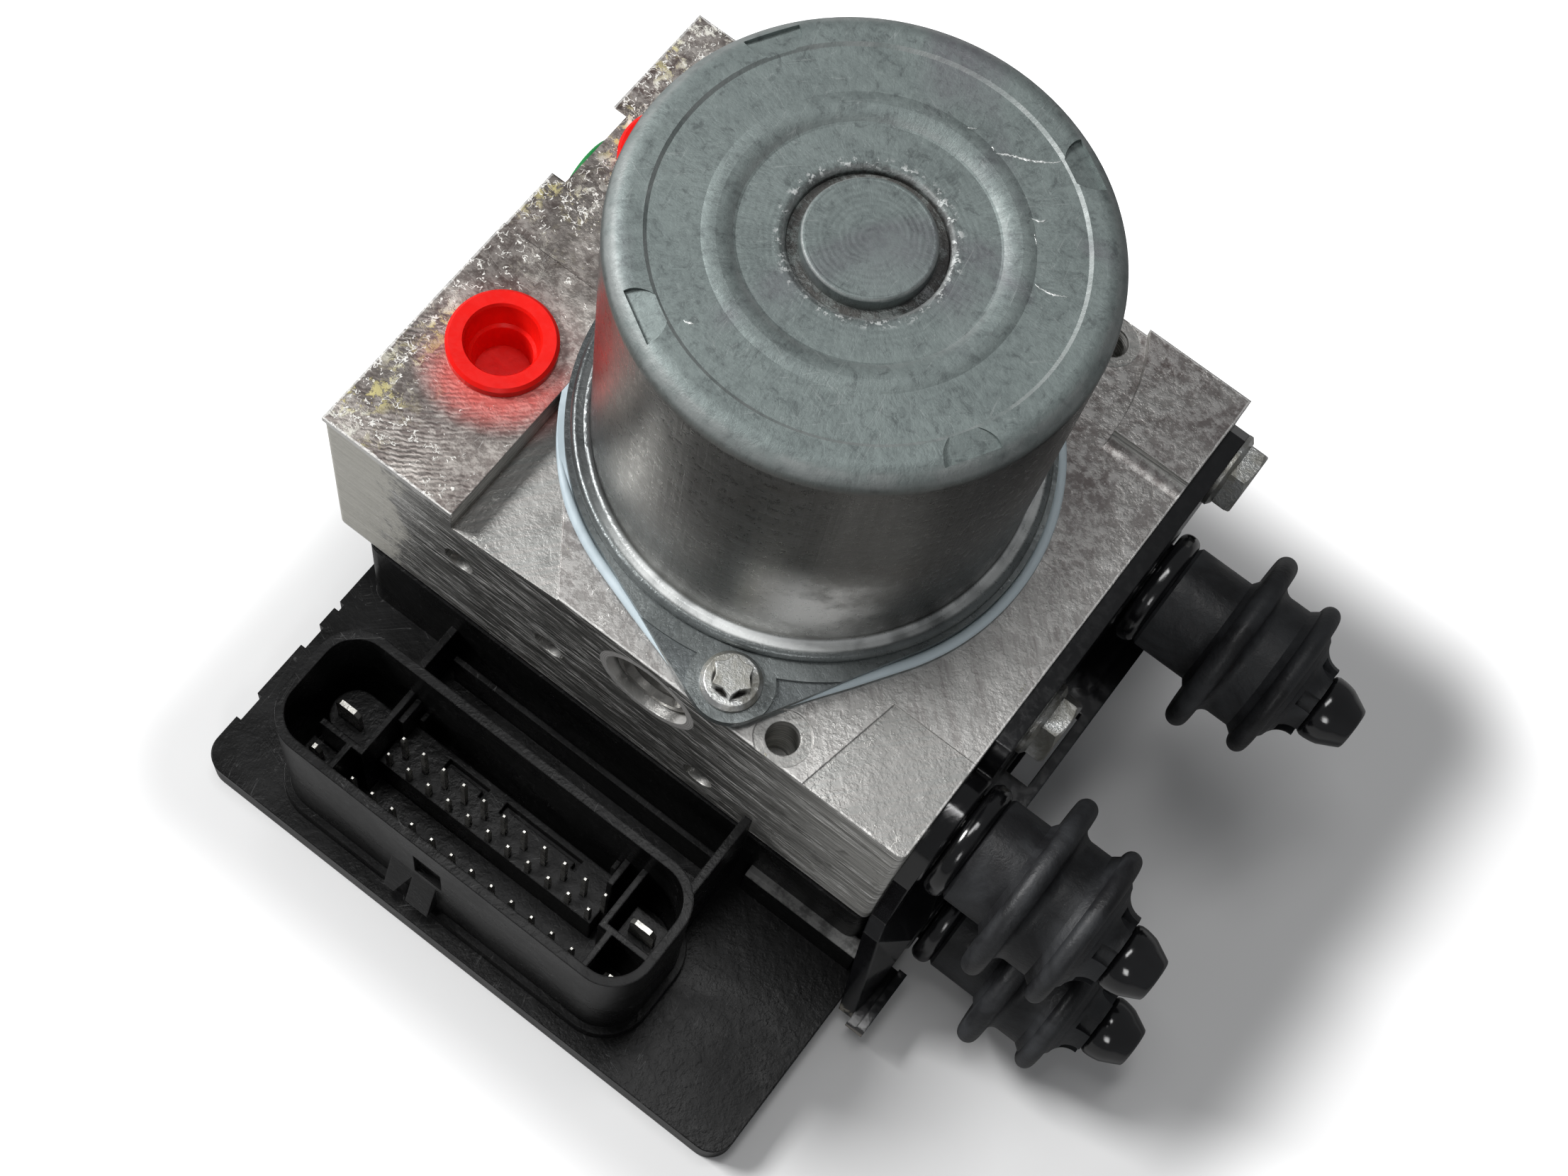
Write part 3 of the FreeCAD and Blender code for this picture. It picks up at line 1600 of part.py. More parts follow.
def front_web():
    """Folded front edge of the leg, from the block's corner down to the foot."""
    x = leg_face - sheet
    corner = (block_right, -bracket_front, leg_joggle_top)
    wing = (block_right + web_top_x, -bracket_front - web_top_out, leg_joggle_top - web_top_drop)
    fold = (x, -web_fold_y, web_fold_z)
    toe = (x, -foot_front, leg_bottom)
    heel = (x, -leg_front, leg_bottom)
    knee = (x, -leg_front, leg_joggle_bottom)
    top = (block_right, -leg_front, leg_joggle_top)
    triangles = [(wing, toe, fold), (fold, toe, heel), (fold, heel, knee), (wing, fold, knee),
                 (wing, knee, top), (wing, top, corner)]
    return fused([prism(list(points), Vector(sheet, 0, 0)) for points in triangles])


def eye(y, z, face):
    """Round embossed seat of a mount pin."""
    r = eye_radius
    top = eye_height - sheet
    return turned([
        (0, -sheet),
        (r, -sheet),
        (r, top - eye_round),
        (r - eye_round, top),
        (0, top),
    ], Vector(face, y, z), X_AXIS)


def bracket():
    """Folded sheet: side plate, stiffening shelf, joggled leg and foot."""
    x0 = block_right
    x1 = sheet_face
    inner = leg_face - sheet
    shelf = box(x1 - 1, x1 + shelf_reach, -shelf_front, shelf_back, bracket_bottom,
                bracket_bottom + sheet)
    slot_x = x1 + shelf_slot_inset
    slot = box(slot_x, slot_x + shelf_slot_width, front_bolt_y - shelf_slot_before,
               front_bolt_y + shelf_slot_after, bracket_bottom - 1, bracket_bottom + sheet + 1)
    tab = box(x1 - 1, x1 + back_tab_reach, bracket_back - sheet, bracket_back, back_tab_bottom,
              back_tab_top)
    upper_leg = box(x0, x1, -bracket_front, -leg_back, leg_joggle_top, bracket_bottom + 1)
    joggle = prism([
        (x0, -leg_front, leg_joggle_top),
        (x1, -leg_front, leg_joggle_top),
        (leg_face, -leg_front, leg_joggle_bottom),
        (inner, -leg_front, leg_joggle_bottom),
    ], Vector(0, leg_front - leg_back, 0))
    leg = box(inner, leg_face, -leg_front, -leg_back, leg_bottom, leg_joggle_bottom)
    lip_edge = leg_face + foot_lip
    lip = box(leg_face - 0.5, lip_edge, -foot_lip_front, -foot_lip_back, leg_bottom,
              leg_bottom + sheet)
    rim = box(lip_edge - foot_rim, lip_edge, -foot_lip_front, -foot_lip_back, leg_bottom,
              leg_bottom + foot_rim_height)
    eyes = [eye(y, z, face) for y, z, face, reach in mount_sites()]
    body = fused([side_plate(), shelf, tab, upper_leg, joggle, leg, front_web(), lip, rim] + eyes)
    tools = [slot]
    for y, z in bolt_sites:
        tools.append(cylinder((x0 - 1, y, z), X_AXIS, bolt_radius + bolt_hole_gap, sheet + 2))
    for y, z, face, reach in mount_sites():
        tools.append(cylinder((face - sheet - 1, y, z), X_AXIS, mount_pin_radius, sheet + 3))
    return body.cut(tools)


def hexagon(point, flats, length):
    """Six sided bar along +X."""
    radius = flats / math.sqrt(3)
    points = []
    for number in range(6):
        angle = math.radians(60 * number)
        points.append((point[0], point[1] + radius * math.cos(angle),
                       point[2] + radius * math.sin(angle)))
    return prism(points, Vector(length, 0, 0))


def bracket_bolts():
    """Flanged hexagon bolts into the side of the block."""
    bolts = []
    for y, z in bolt_sites:
        shank = cylinder((block_right - bolt_depth, y, z), X_AXIS, bolt_radius - press_gap,
                         bolt_depth + sheet)
        flange = turned([
            (0, 0), (bolt_flange_radius, 0), (bolt_flange_radius, bolt_flange * 0.5),
            (bolt_flange_radius - 0.8, bolt_flange), (0, bolt_flange),
        ], Vector(sheet_face, y, z), X_AXIS)
        head = hexagon((sheet_face + bolt_flange, y, z), bolt_head_flats, bolt_head_height)
        crown = turned([
            (0, -1), (bolt_head_flats / 2 + 1.6, -1),
            (bolt_head_flats / 2 + 1.6, bolt_head_height - 1.2),
            (bolt_head_flats / 2 - 0.2, bolt_head_height), (0, bolt_head_height),
        ], Vector(sheet_face + bolt_flange, y, z), X_AXIS)
        bolts.append(fused([shank, flange, head.common(crown)]))
    return Part.makeCompound(bolts)


# Rubber mounts


def mount_sites():
    """Each mount: y, z, the sheet face that it stands on and the reach of its big flange."""
    return [
        (rear_mount_y, upper_mounts_z, sheet_face, rear_mount_reach),
        (front_mount_y, upper_mounts_z, sheet_face, front_mount_reach),
        (low_mount_y, low_mount_z, leg_face, low_mount_reach),
    ]


def cone_end(reach):
    """Distance of the rubber's outer end from the sheet face."""
    return reach + flange_pitch + small_flange_width / 2 + cone_length


def rubber_mount(site):
    """Rubber bush with two round flanges, a groove between them and a notched cone."""
    y, z, face, reach = site
    start = collar_start + collar_width
    end = cone_end(reach)
    bore = mount_pin_radius + press_gap
    small_middle = reach + flange_pitch
    big0 = reach - big_flange_width / 2
    big1 = reach + big_flange_width / 2
    small0 = small_middle - small_flange_width / 2
    small1 = small_middle + small_flange_width / 2
    big_edge = big_flange_radius - big_flange_width / 2
    small_edge = small_flange_radius - small_flange_width / 2
    profile = [
        (bore, start),
        (bush_radius - bush_chamfer, start),
        (bush_radius, start + bush_chamfer),
        (bush_radius, big0 - 0.9),
        (bush_radius + 1.2, big0),
        (big_edge, big0),
        ((big_flange_radius, reach), (big_edge, big1)),
        (waist_radius + 1.8, big1),
        ((waist_radius + 0.5, big1 + 0.5), (waist_radius, big1 + 1.8)),
        (waist_radius, small0 - 1.2),
        (waist_radius + 0.9, small0),
        (small_edge, small0),
        ((small_flange_radius, small_middle), (small_edge, small1)),
        (cone_radius + 1.0, small1),
        (cone_radius, small1 + 0.8),
        ((cone_radius * 0.42 + cone_end_radius * 0.5, (small1 + end) / 2),
         (cone_end_radius, end)),
        (bore, end),
    ]
    body = turned(profile, Vector(face, y, z), X_AXIS)
    notches = []
    for number in range(cone_notch_count):
        notch = box(face + small1 + 1.6, face + end + 1, y - cone_notch_width / 2,
                    y + cone_notch_width / 2, z + cone_end_radius - 1.2, z + cone_radius + 2)
        notch.rotate(Vector(face, y, z), X_AXIS, 360 / cone_notch_count * (number + 0.5))
        notches.append(notch)
    return body.cut(notches)


def mount_pin(site):
    """Pin riveted in the sheet: a big round collar, a plain stem and a faceted tip."""
    y, z, face, reach = site
    eye_top = eye_height - sheet
    start = collar_start
    end = collar_start + collar_width
    stem_end = cone_end(reach)
    r = collar_radius
    c = collar_round
    bend = c * (1 - math.sqrt(0.5))
    profile = [
        (0, -sheet),
        (mount_pin_radius - press_gap, -sheet),
        (mount_pin_radius - press_gap, eye_top),
        (collar_neck_radius, eye_top),
        (collar_neck_radius, start),
        (r - c, start),
        ((r - bend, start + bend), (r, start + c)),
        (r, end - c),
        ((r - bend, end - bend), (r - c, end)),
        (mount_pin_radius, end),
        (mount_pin_radius, stem_end),
        (0, stem_end),
    ]
    stem = turned(profile, Vector(face, y, z), X_AXIS)
    rings = []
    sections = (
        (0, bullet_radius - 0.7),
        (0.9, bullet_radius),
        (bullet_length, bullet_radius - 0.3),
        (bullet_length + bullet_nose, bullet_end_radius),
    )
    for distance, radius in sections:
        points = []
        for number in range(bullet_sides + 1):
            angle = 2 * math.pi / bullet_sides * (number % bullet_sides + 0.5)
            points.append(Vector(face + stem_end + distance, y + radius * math.cos(angle),
                                 z + radius * math.sin(angle)))
        rings.append(Part.makePolygon(points))
    tip = Part.makeLoft(rings, True, True)
    return fused([stem, tip])


def write(node, shape):
    """One STEP file for one node."""
    shape.exportStep("parts/" + node + ".step")


def main():
    os.makedirs("parts", exist_ok=True)
    rear_site, front_site, low_site = mount_sites()
    write("valve_block", valve_block())
    write("port_cap_front", top_port_cap(top_port_front_y))
    write("port_cap_rear", top_port_cap(top_port_rear_y))
    write("side_port_caps", side_port_caps())
    write("pump_plug_front", pump_plug(-1))
    write("pump_plug_rear", pump_plug(1))
    write("channel_balls", channel_balls())
    write("motor_can", motor_can())
    write("motor_seal", motor_seal())
    write("motor_screws", motor_screws())
    write("motor_shaft", motor_shaft())
    write("cam_ring", cam_ring())
    write("top_bearing", top_bearing())
    write("lower_bearing", lower_bearing())
    write("armature_core", armature_core())
    write("armature_windings", armature_windings())
    write("commutator", commutator())
    write("field_magnets", field_magnets())
    write("brush_holder", brush_holder())
    write("carbon_brushes", carbon_brushes())
    write("brush_springs", brush_springs())
    write("motor_contacts", motor_contacts())
    write("pump_piston_front", pump_piston(-1))
    write("pump_piston_rear", pump_piston(1))
    write("pump_sleeves", pump_sleeves())
    write("pump_spring_front", pump_spring(-1))
    write("pump_spring_rear", pump_spring(1))
    write("inlet_valves", valve_row(inlet_row_y))
    write("outlet_valves", valve_row(outlet_row_y))
    write("solenoid_coils", solenoid_coils())
    write("coil_frames", coil_frames())
    write("accumulator_piston_left", accumulator_piston(-1))
    write("accumulator_piston_right", accumulator_piston(1))
    write("accumulator_spring_left", accumulator_spring(-1))
    write("accumulator_spring_right", accumulator_spring(1))
    write("accumulator_caps", accumulator_caps())
    write("controller_housing", controller_housing())
    write("controller_cover", controller_cover())
    write("controller_seal", controller_seal())
    write("controller_screws", controller_screws())
    write("circuit_board", circuit_board())
    write("board_parts", board_parts())
    write("signal_pins", signal_pins())
    write("power_blades", power_blades())
    write("bracket", bracket())
    write("bracket_bolts", bracket_bolts())
    write("mount_pin_rear", mount_pin(rear_site))
    write("mount_pin_front", mount_pin(front_site))
    write("mount_pin_low", mount_pin(low_site))
    write("rubber_mount_rear", rubber_mount(rear_site))
    write("rubber_mount_front", rubber_mount(front_site))
    write("rubber_mount_low", rubber_mount(low_site))


main()
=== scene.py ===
import bpy
import numpy as np
from mathutils import Matrix


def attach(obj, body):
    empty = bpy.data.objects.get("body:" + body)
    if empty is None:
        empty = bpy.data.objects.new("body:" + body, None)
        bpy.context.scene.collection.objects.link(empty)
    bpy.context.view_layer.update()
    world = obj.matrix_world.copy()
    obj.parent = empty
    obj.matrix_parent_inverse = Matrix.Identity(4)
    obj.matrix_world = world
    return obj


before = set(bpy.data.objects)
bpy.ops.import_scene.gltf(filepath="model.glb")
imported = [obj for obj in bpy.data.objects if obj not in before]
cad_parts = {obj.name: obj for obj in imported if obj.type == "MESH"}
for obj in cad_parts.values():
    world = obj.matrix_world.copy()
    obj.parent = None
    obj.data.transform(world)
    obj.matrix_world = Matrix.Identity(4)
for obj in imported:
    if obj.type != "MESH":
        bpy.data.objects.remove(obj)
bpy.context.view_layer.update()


# Table, light and camera. A plain white table under three soft boxes and a pale room; the camera
# stands high in front of the plug socket, turned so that the valve block runs across the view.

def put(tree, kind, sockets=None, **settings):
    """Adds a node, applies its settings and fills its inputs with values or with links."""
    node = tree.nodes.new(kind)
    for name, value in settings.items():
        setattr(node, name, value)
    for name, value in (sockets or {}).items():
        if isinstance(value, bpy.types.NodeSocket):
            tree.links.new(value, node.inputs[name])
        else:
            node.inputs[name].default_value = value
    return node


def blank_material(name):
    """A material with a bare tree: its tree and its output node."""
    material = bpy.data.materials.new(name)
    material.use_nodes = True
    material.node_tree.nodes.clear()
    return material, material.node_tree, put(material.node_tree, "ShaderNodeOutputMaterial")


table_half_width = 3.0
table_z = -0.0002
table_white = (0.76, 0.76, 0.76, 1.0)
table_mirrored = (0.30, 0.30, 0.30, 1.0)
table_lift = 0.75
part_middle = (0.0230, -0.0150, 0.0)
part_half = (0.0744, 0.0635, 0.0)
fade_start, fade_end = 0.008, 0.032

table_mesh = bpy.data.meshes.new("table")
table_corners = [(table_half_width * x, table_half_width * y, table_z)
                 for x, y in ((-1, -1), (1, -1), (1, 1), (-1, 1))]
table_mesh.from_pydata(table_corners, [], [(0, 1, 2, 3)])
table = bpy.data.objects.new("table", table_mesh)
bpy.context.collection.objects.link(table)

table_paint, tree, output = blank_material("table_paint")
path = put(tree, "ShaderNodeLightPath")

# The camera sees the shadow near the part; farther out the table fades to plain white. The
# distance is that from a box round the part's footprint.
off = put(tree, "ShaderNodeNewGeometry").outputs["Position"]
for operation, second in (("SUBTRACT", part_middle), ("ABSOLUTE", (0.0, 0.0, 0.0)),
                          ("SUBTRACT", part_half), ("MAXIMUM", (0.0, 0.0, 0.0))):
    off = put(tree, "ShaderNodeVectorMath", {0: off, 1: second}, operation=operation).outputs[0]
apart = put(tree, "ShaderNodeVectorMath", {0: off}, operation="LENGTH").outputs["Value"]
far_white = put(tree, "ShaderNodeMapRange",
                {"Value": apart, "From Min": fade_start, "From Max": fade_end, "To Min": 0.0,
                 "To Max": table_lift}, interpolation_type="SMOOTHSTEP").outputs["Result"]
lift = put(tree, "ShaderNodeMath", {0: path.outputs["Is Camera Ray"], 1: far_white},
           operation="MULTIPLY")
mirrored = put(tree, "ShaderNodeMix", {0: path.outputs["Is Glossy Ray"]}, data_type="RGBA")
mirrored.inputs[6].default_value = table_white
mirrored.inputs[7].default_value = table_mirrored
glow = put(tree, "ShaderNodeEmission", {"Color": (1, 1, 1, 1), "Strength": lift.outputs[0]})
matt = put(tree, "ShaderNodeBsdfPrincipled", {"Base Color": mirrored.outputs[2], "Roughness": 0.9,
                                              "Specular IOR Level": 0.1})
both = put(tree, "ShaderNodeAddShader")
tree.links.new(matt.outputs[0], both.inputs[0])
tree.links.new(glow.outputs[0], both.inputs[1])
tree.links.new(both.outputs[0], output.inputs["Surface"])
table_mesh.materials.append(table_paint)

world = bpy.data.worlds.new("pale_room")
bpy.context.scene.world = world
world.use_nodes = True
tree = world.node_tree
tree.nodes.clear()
path = put(tree, "ShaderNodeLightPath")
room = put(tree, "ShaderNodeBackground", {"Color": (0.95, 0.97, 1.0, 1), "Strength": 0.15})
white = put(tree, "ShaderNodeBackground", {"Color": (1, 1, 1, 1), "Strength": 1.0})
pick = put(tree, "ShaderNodeMixShader", {"Fac": path.outputs["Is Camera Ray"]})
tree.links.new(room.outputs[0], pick.inputs[1])
tree.links.new(white.outputs[0], pick.inputs[2])
put(tree, "ShaderNodeOutputWorld", {"Surface": pick.outputs[0]})


def soft_box(name, place, target, size, watts):
    """A rectangular lamp at a place, facing a target."""
    data = bpy.data.lights.new(name, "AREA")
    data.shape = "RECTANGLE"
    data.size, data.size_y = size
    data.energy = watts
    lamp = bpy.data.objects.new(name, data)
    bpy.context.collection.objects.link(lamp)
    reach = np.array(place) - np.array(target)
    back = reach / np.linalg.norm(reach)
    side = np.cross((0.0, 0.0, 1.0), back)
    side = side / np.linalg.norm(side)
    up = np.cross(back, side)
    turn = Matrix(np.array([side, up, back]).T.tolist()).to_4x4()
    turn.translation = place
    lamp.matrix_world = turn


soft_box("top_box", (-0.12, 0.04, 1.25), (0.0, 0.0, 0.06), size=(0.56, 0.22), watts=3.4)
soft_box("left_box", (-0.88, -0.26, 0.88), (0.0, 0.0, 0.05), size=(0.34, 0.34), watts=16.0)
soft_box("front_box", (0.45, -0.85, 0.70), (0.0, 0.0, 0.04), size=(0.20, 0.30), watts=1.2)

photo_width = 2212
focal_pixels = 3481.8
sensor_width = 36.0
camera_place = (0.05542, -0.13815, 0.39172)
camera_turn = ((0.795233, -0.592570, 0.128314),
               (0.597048, 0.728517, -0.335853),
               (0.105538, 0.343691, 0.933134))
camera_data = bpy.data.cameras.new("photo_camera")
camera_data.sensor_fit = "HORIZONTAL"
camera_data.sensor_width = sensor_width
camera_data.lens = sensor_width * focal_pixels / photo_width
camera_data.clip_start = 0.01
camera = bpy.data.objects.new("photo_camera", camera_data)
bpy.context.collection.objects.link(camera)
pose = Matrix(camera_turn).to_4x4()
pose.translation = camera_place
camera.matrix_world = pose
bpy.context.scene.camera = camera
bpy.context.scene.view_settings.view_transform = "Standard"


# Valve block. A sawn and milled piece of extruded aluminium: milled arcs and yellow-white
# corrosion on the left pad, grey bloom and fine scratches on top, drawn streaks on the sides.

def effect(name, inputs, outputs):
    """A node group with named sockets for values (v) or places (p): its tree and both ends."""
    kinds = {"v": "NodeSocketFloat", "p": "NodeSocketVector"}
    tree = bpy.data.node_groups.new(name, "ShaderNodeTree")
    for label, (kind, value) in inputs.items():
        socket = tree.interface.new_socket(name=label, in_out="INPUT", socket_type=kinds[kind])
        if kind != "p":
            socket.default_value = value
    for label, kind in outputs.items():
        tree.interface.new_socket(name=label, in_out="OUTPUT", socket_type=kinds[kind])
    return tree, put(tree, "NodeGroupInput").outputs, put(tree, "NodeGroupOutput").inputs


def bring(tree, group, **sockets):
    """An instance of a node group; underscores in the input names stand for spaces."""
    node = put(tree, "ShaderNodeGroup", node_tree=group)
    for name, value in sockets.items():
        socket = node.inputs[name.replace("_", " ")]
        if isinstance(value, bpy.types.NodeSocket):
            tree.links.new(value, socket)
        else:
            socket.default_value = value
    return node.outputs


def sums(tree, operation, first, second=0.0, clamp=False):
    """One step of arithmetic: the output of a Math node."""
    return put(tree, "ShaderNodeMath", {0: first, 1: second}, operation=operation,
               use_clamp=clamp).outputs[0]


def times(tree, first, second):
    """A product."""
    return sums(tree, "MULTIPLY", first, second)


def plus(tree, first, second):
    """A sum."""
    return sums(tree, "ADD", first, second)


def minus(tree, first, second, clamp=False):
    """A difference."""
    return sums(tree, "SUBTRACT", first, second, clamp)


def away(tree, first, second):
    """The length of the flat vector with these two parts."""
    return sums(tree, "SQRT", plus(tree, sums(tree, "POWER", first, 2.0),
                                   sums(tree, "POWER", second, 2.0)))


def split(tree, vector):
    """The three parts of a vector, by name."""
    return put(tree, "ShaderNodeSeparateXYZ", {0: vector}).outputs


def own_place(tree):
    """The place on the piece, in the part's own frame."""
    return put(tree, "ShaderNodeTexCoord").outputs["Object"]


def ramp(tree, value, low, high, out_low=0.0, out_high=1.0):
    """A smooth step of a value between two limits."""
    return put(tree, "ShaderNodeMapRange",
               {"Value": value, "From Min": low, "From Max": high, "To Min": out_low,
                "To Max": out_high}, interpolation_type="SMOOTHSTEP").outputs["Result"]


def blend(tree, factor, first, second, mode="MIX"):
    """A mix of two colours by a mask."""
    node = put(tree, "ShaderNodeMix", data_type="RGBA", blend_type=mode)
    for socket, value in ((node.inputs[0], factor), (node.inputs[6], first),
                          (node.inputs[7], second)):
        if isinstance(value, bpy.types.NodeSocket):
            tree.links.new(value, socket)
        else:
            socket.default_value = value
    return node.outputs[2]


def stretched(tree, vector, scale, turn=(0.0, 0.0, 0.0), shift=(0.0, 0.0, 0.0)):
    """Coordinates that are turned, then scaled along each axis."""
    spun = put(tree, "ShaderNodeMapping", {"Vector": vector, "Rotation": turn,
                                           "Location": shift})
    return put(tree, "ShaderNodeMapping", {"Vector": spun.outputs[0], "Scale": scale}).outputs[0]


def noise(tree, vector, scale, detail=3.0, rough=0.55, warp=0.0):
    """The value of a noise texture."""
    return put(tree, "ShaderNodeTexNoise", {"Vector": vector, "Scale": scale, "Detail": detail,
                                            "Roughness": rough, "Distortion": warp}).outputs[0]


def soft_edges(tree, radius):
    """A normal that turns over the sharp edges as if they were broken by a small radius."""
    return put(tree, "ShaderNodeBevel", {"Radius": radius}, samples=4).outputs[0]


def bumped(tree, strength, distance, height, normal=None):
    """The normal of a skin with this height, on top of another normal if one is given."""
    node = put(tree, "ShaderNodeBump", {"Strength": strength, "Distance": distance,
                                        "Height": height})
    if normal is not None:
        tree.links.new(normal, node.inputs["Normal"])
    return node.outputs[0]


def surface(tree, output, sockets):
    """Ends a material in a Principled shader with these inputs."""
    shade = put(tree, "ShaderNodeBsdfPrincipled", sockets)
    tree.links.new(shade.outputs[0], output.inputs["Surface"])


# Scratches: thin level lines of long stretched noise, in three directions, broken by a coarse
# noise so that each stroke starts and ends.
scratches, given, result = effect("scratches", {"Place": ("p", None), "Amount": ("v", 0.5)},
                                  {"Mask": "v"})
strokes = None
for angle, size in ((0.35, 46.0), (-0.75, 64.0), (1.45, 38.0)):
    line = noise(scratches, stretched(scratches, given["Place"], (size, size * 26, size * 8),
                                      (0.2, 0.3, angle)), 1.0, 1.0, 0.4, 0.25)
    off = sums(scratches, "ABSOLUTE", minus(scratches, line, 0.5))
    thin = ramp(scratches, off, 0.0, 0.007, 1.0, 0.0)
    patch = noise(scratches, stretched(scratches, given["Place"], (90, 90, 90), (0, 0, angle * 2)),
                  1.0, 2.0)
    thin = times(scratches, thin, ramp(scratches, patch, 0.52, 0.60))
    strokes = thin if strokes is None else sums(scratches, "MAXIMUM", strokes, thin)
strokes = times(scratches, strokes, given["Amount"])
scratches.links.new(strokes, result["Mask"])

# Bloom: soft grey clouds with a finer grain, as old zinc and bare aluminium have.
bloom, given, result = effect("bloom", {"Place": ("p", None), "Size": ("v", 60.0)},
                              {"Clouds": "v", "Grain": "v"})
clouds = noise(bloom, given["Place"], given["Size"], 5.0, 0.62, 0.6)
grain = noise(bloom, given["Place"], times(bloom, given["Size"], 9.0), 3.0, 0.7)
bloom.links.new(ramp(bloom, clouds, 0.34, 0.68), result["Clouds"])
bloom.links.new(ramp(bloom, grain, 0.36, 0.66), result["Grain"])

# Specks: small crumbs of dirt or salt, gathered in patches.
specks, given, result = effect("specks", {"Place": ("p", None), "Size": ("v", 900.0),
                                          "Amount": ("v", 0.5)}, {"Mask": "v"})
crumbs = put(specks, "ShaderNodeTexVoronoi", {"Vector": given["Place"], "Scale": given["Size"],
                                              "Randomness": 1.0}, feature="F1").outputs["Distance"]
patches = noise(specks, given["Place"], 110.0, 4.0, 0.65)
level = minus(specks, 0.86, times(specks, given["Amount"], 0.5))
gathered = ramp(specks, patches, level, 0.95)
size = times(specks, gathered, 0.9)
specks.links.new(ramp(specks, minus(specks, size, crumbs), 0.0, 0.08), result["Mask"])

# Flakes: short curled white crumbs, drawn where a noise passes through its middle value, kept
# only in patches of a coarser noise.
flakes, given, result = effect("flakes", {"Place": ("p", None), "Size": ("v", 900.0),
                                          "Amount": ("v", 0.5)}, {"Mask": "v"})
curl = noise(flakes, given["Place"], given["Size"], 2.0, 0.6, 0.5)
off = sums(flakes, "ABSOLUTE", minus(flakes, curl, 0.5))
line = ramp(flakes, off, 0.014, 0.030, 1.0, 0.0)
aside = stretched(flakes, given["Place"], (1, 1, 1), (0, 0, 0), (0.3, 0.2, 0.1))
gate = noise(flakes, aside, times(flakes, given["Size"], 0.8), 2.0, 0.5)
limit = minus(flakes, 0.72, times(flakes, given["Amount"], 0.30))
gate = ramp(flakes, minus(flakes, gate, limit), 0.0, 0.04)
flakes.links.new(times(flakes, line, gate), result["Mask"])

# Edge wear: for each axis the distance to the nearer face of a box; where the middle one of the
# three distances is small, the place lies on an edge of the box. A noise frays the line.
edge_wear, given, result = effect(
    "edge_wear", {"Place": ("p", None), "Low": ("p", None), "High": ("p", None),
                  "Width": ("v", 0.0004)}, {"Mask": "v"})
low_gap = put(edge_wear, "ShaderNodeVectorMath", {0: given["Place"], 1: given["Low"]},
              operation="SUBTRACT").outputs[0]
high_gap = put(edge_wear, "ShaderNodeVectorMath", {0: given["High"], 1: given["Place"]},
               operation="SUBTRACT").outputs[0]
nearest = put(edge_wear, "ShaderNodeVectorMath", {0: low_gap, 1: high_gap}, operation="MINIMUM")
gaps = split(edge_wear, nearest.outputs[0])
smaller = sums(edge_wear, "MINIMUM", gaps["X"], gaps["Y"])
larger = sums(edge_wear, "MAXIMUM", gaps["X"], gaps["Y"])
middle = sums(edge_wear, "MAXIMUM", smaller, sums(edge_wear, "MINIMUM", larger, gaps["Z"]))
fray = noise(edge_wear, given["Place"], 420.0, 3.0, 0.7)
reach = times(edge_wear, given["Width"], times(edge_wear, fray, 2.0))
part = sums(edge_wear, "DIVIDE", middle, reach)
edge_wear.links.new(ramp(edge_wear, part, 0.7, 1.1, 1.0, 0.0), result["Mask"])

# Turned place: the distance from the motor axis and the angle around it, so that a noise can
# run along the circles or along the radii of a round piece.
turned_place, given, result = effect("turned_place", {"Place": ("p", None)},
                                     {"Radius": "v", "Angle": "v"})
axes = split(turned_place, given["Place"])
turned_place.links.new(away(turned_place, axes["X"], axes["Y"]), result["Radius"])
turned_place.links.new(sums(turned_place, "ARCTAN2", axes["Y"], axes["X"]), result["Angle"])

aluminium_bare = (0.35, 0.337, 0.323, 1.0)
aluminium_dull = (0.19, 0.17, 0.165, 1.0)
aluminium_stain = (0.12, 0.095, 0.09, 1.0)
aluminium_bright = (0.72, 0.71, 0.69, 1.0)
aluminium_milled = (0.30, 0.305, 0.295, 1.0)
corrosion_white = (0.74, 0.73, 0.66, 1.0)
corrosion_yellow = (0.56, 0.50, 0.22, 1.0)
pad_end_x = -0.0323
block_top_z = 0.066
plug_axis = (0.0033, 0.0561)
plug_ring_radius = 0.0086
plug_mark_rate = 22000.0
plug_face_y = 0.0400
mill_centre = (0.084, -0.024, 0.0)
bare_end_x = -0.0420
salt_start_x = -0.043
cap_axis = (-0.0425, -0.0180)
worn_box_low = (-0.0558, -0.0423, 0.0285)
worn_box_high = (0.0472, 0.0458, 0.0661)

block_finish, tree, output = blank_material("block_finish")
place = own_place(tree)
axes = split(tree, place)
facing = split(tree, put(tree, "ShaderNodeNewGeometry").outputs["Normal"])
top_side = ramp(tree, facing["Z"], 0.6, 0.8)
pad = times(tree, ramp(tree, axes["X"], pad_end_x + 0.0005, pad_end_x), top_side)

# The top: grey clouds, brown-violet stains that grow toward the rear, partly a painted shadow of
# the can, fine grain, and bright pin pricks that are painted glints.
cloud = bring(tree, bloom, Place=place, Size=70.0)
top_tone = blend(tree, cloud["Clouds"], aluminium_dull, aluminium_bare)
stain_and_can_shadow = ramp(tree, noise(tree, place, 34.0, 5.0, 0.66, 0.8), 0.46, 0.60)
# The stains grow toward the rear: real stain, and a painted shadow of the can.
stain_and_can_shadow = times(tree, stain_and_can_shadow, ramp(tree, axes["Y"], -0.024, 0.024, 0.15, 1.0))
top_tone = blend(tree, stain_and_can_shadow, top_tone, aluminium_stain)
top_tone = blend(tree, times(tree, cloud["Grain"], 0.45), top_tone, aluminium_bright)
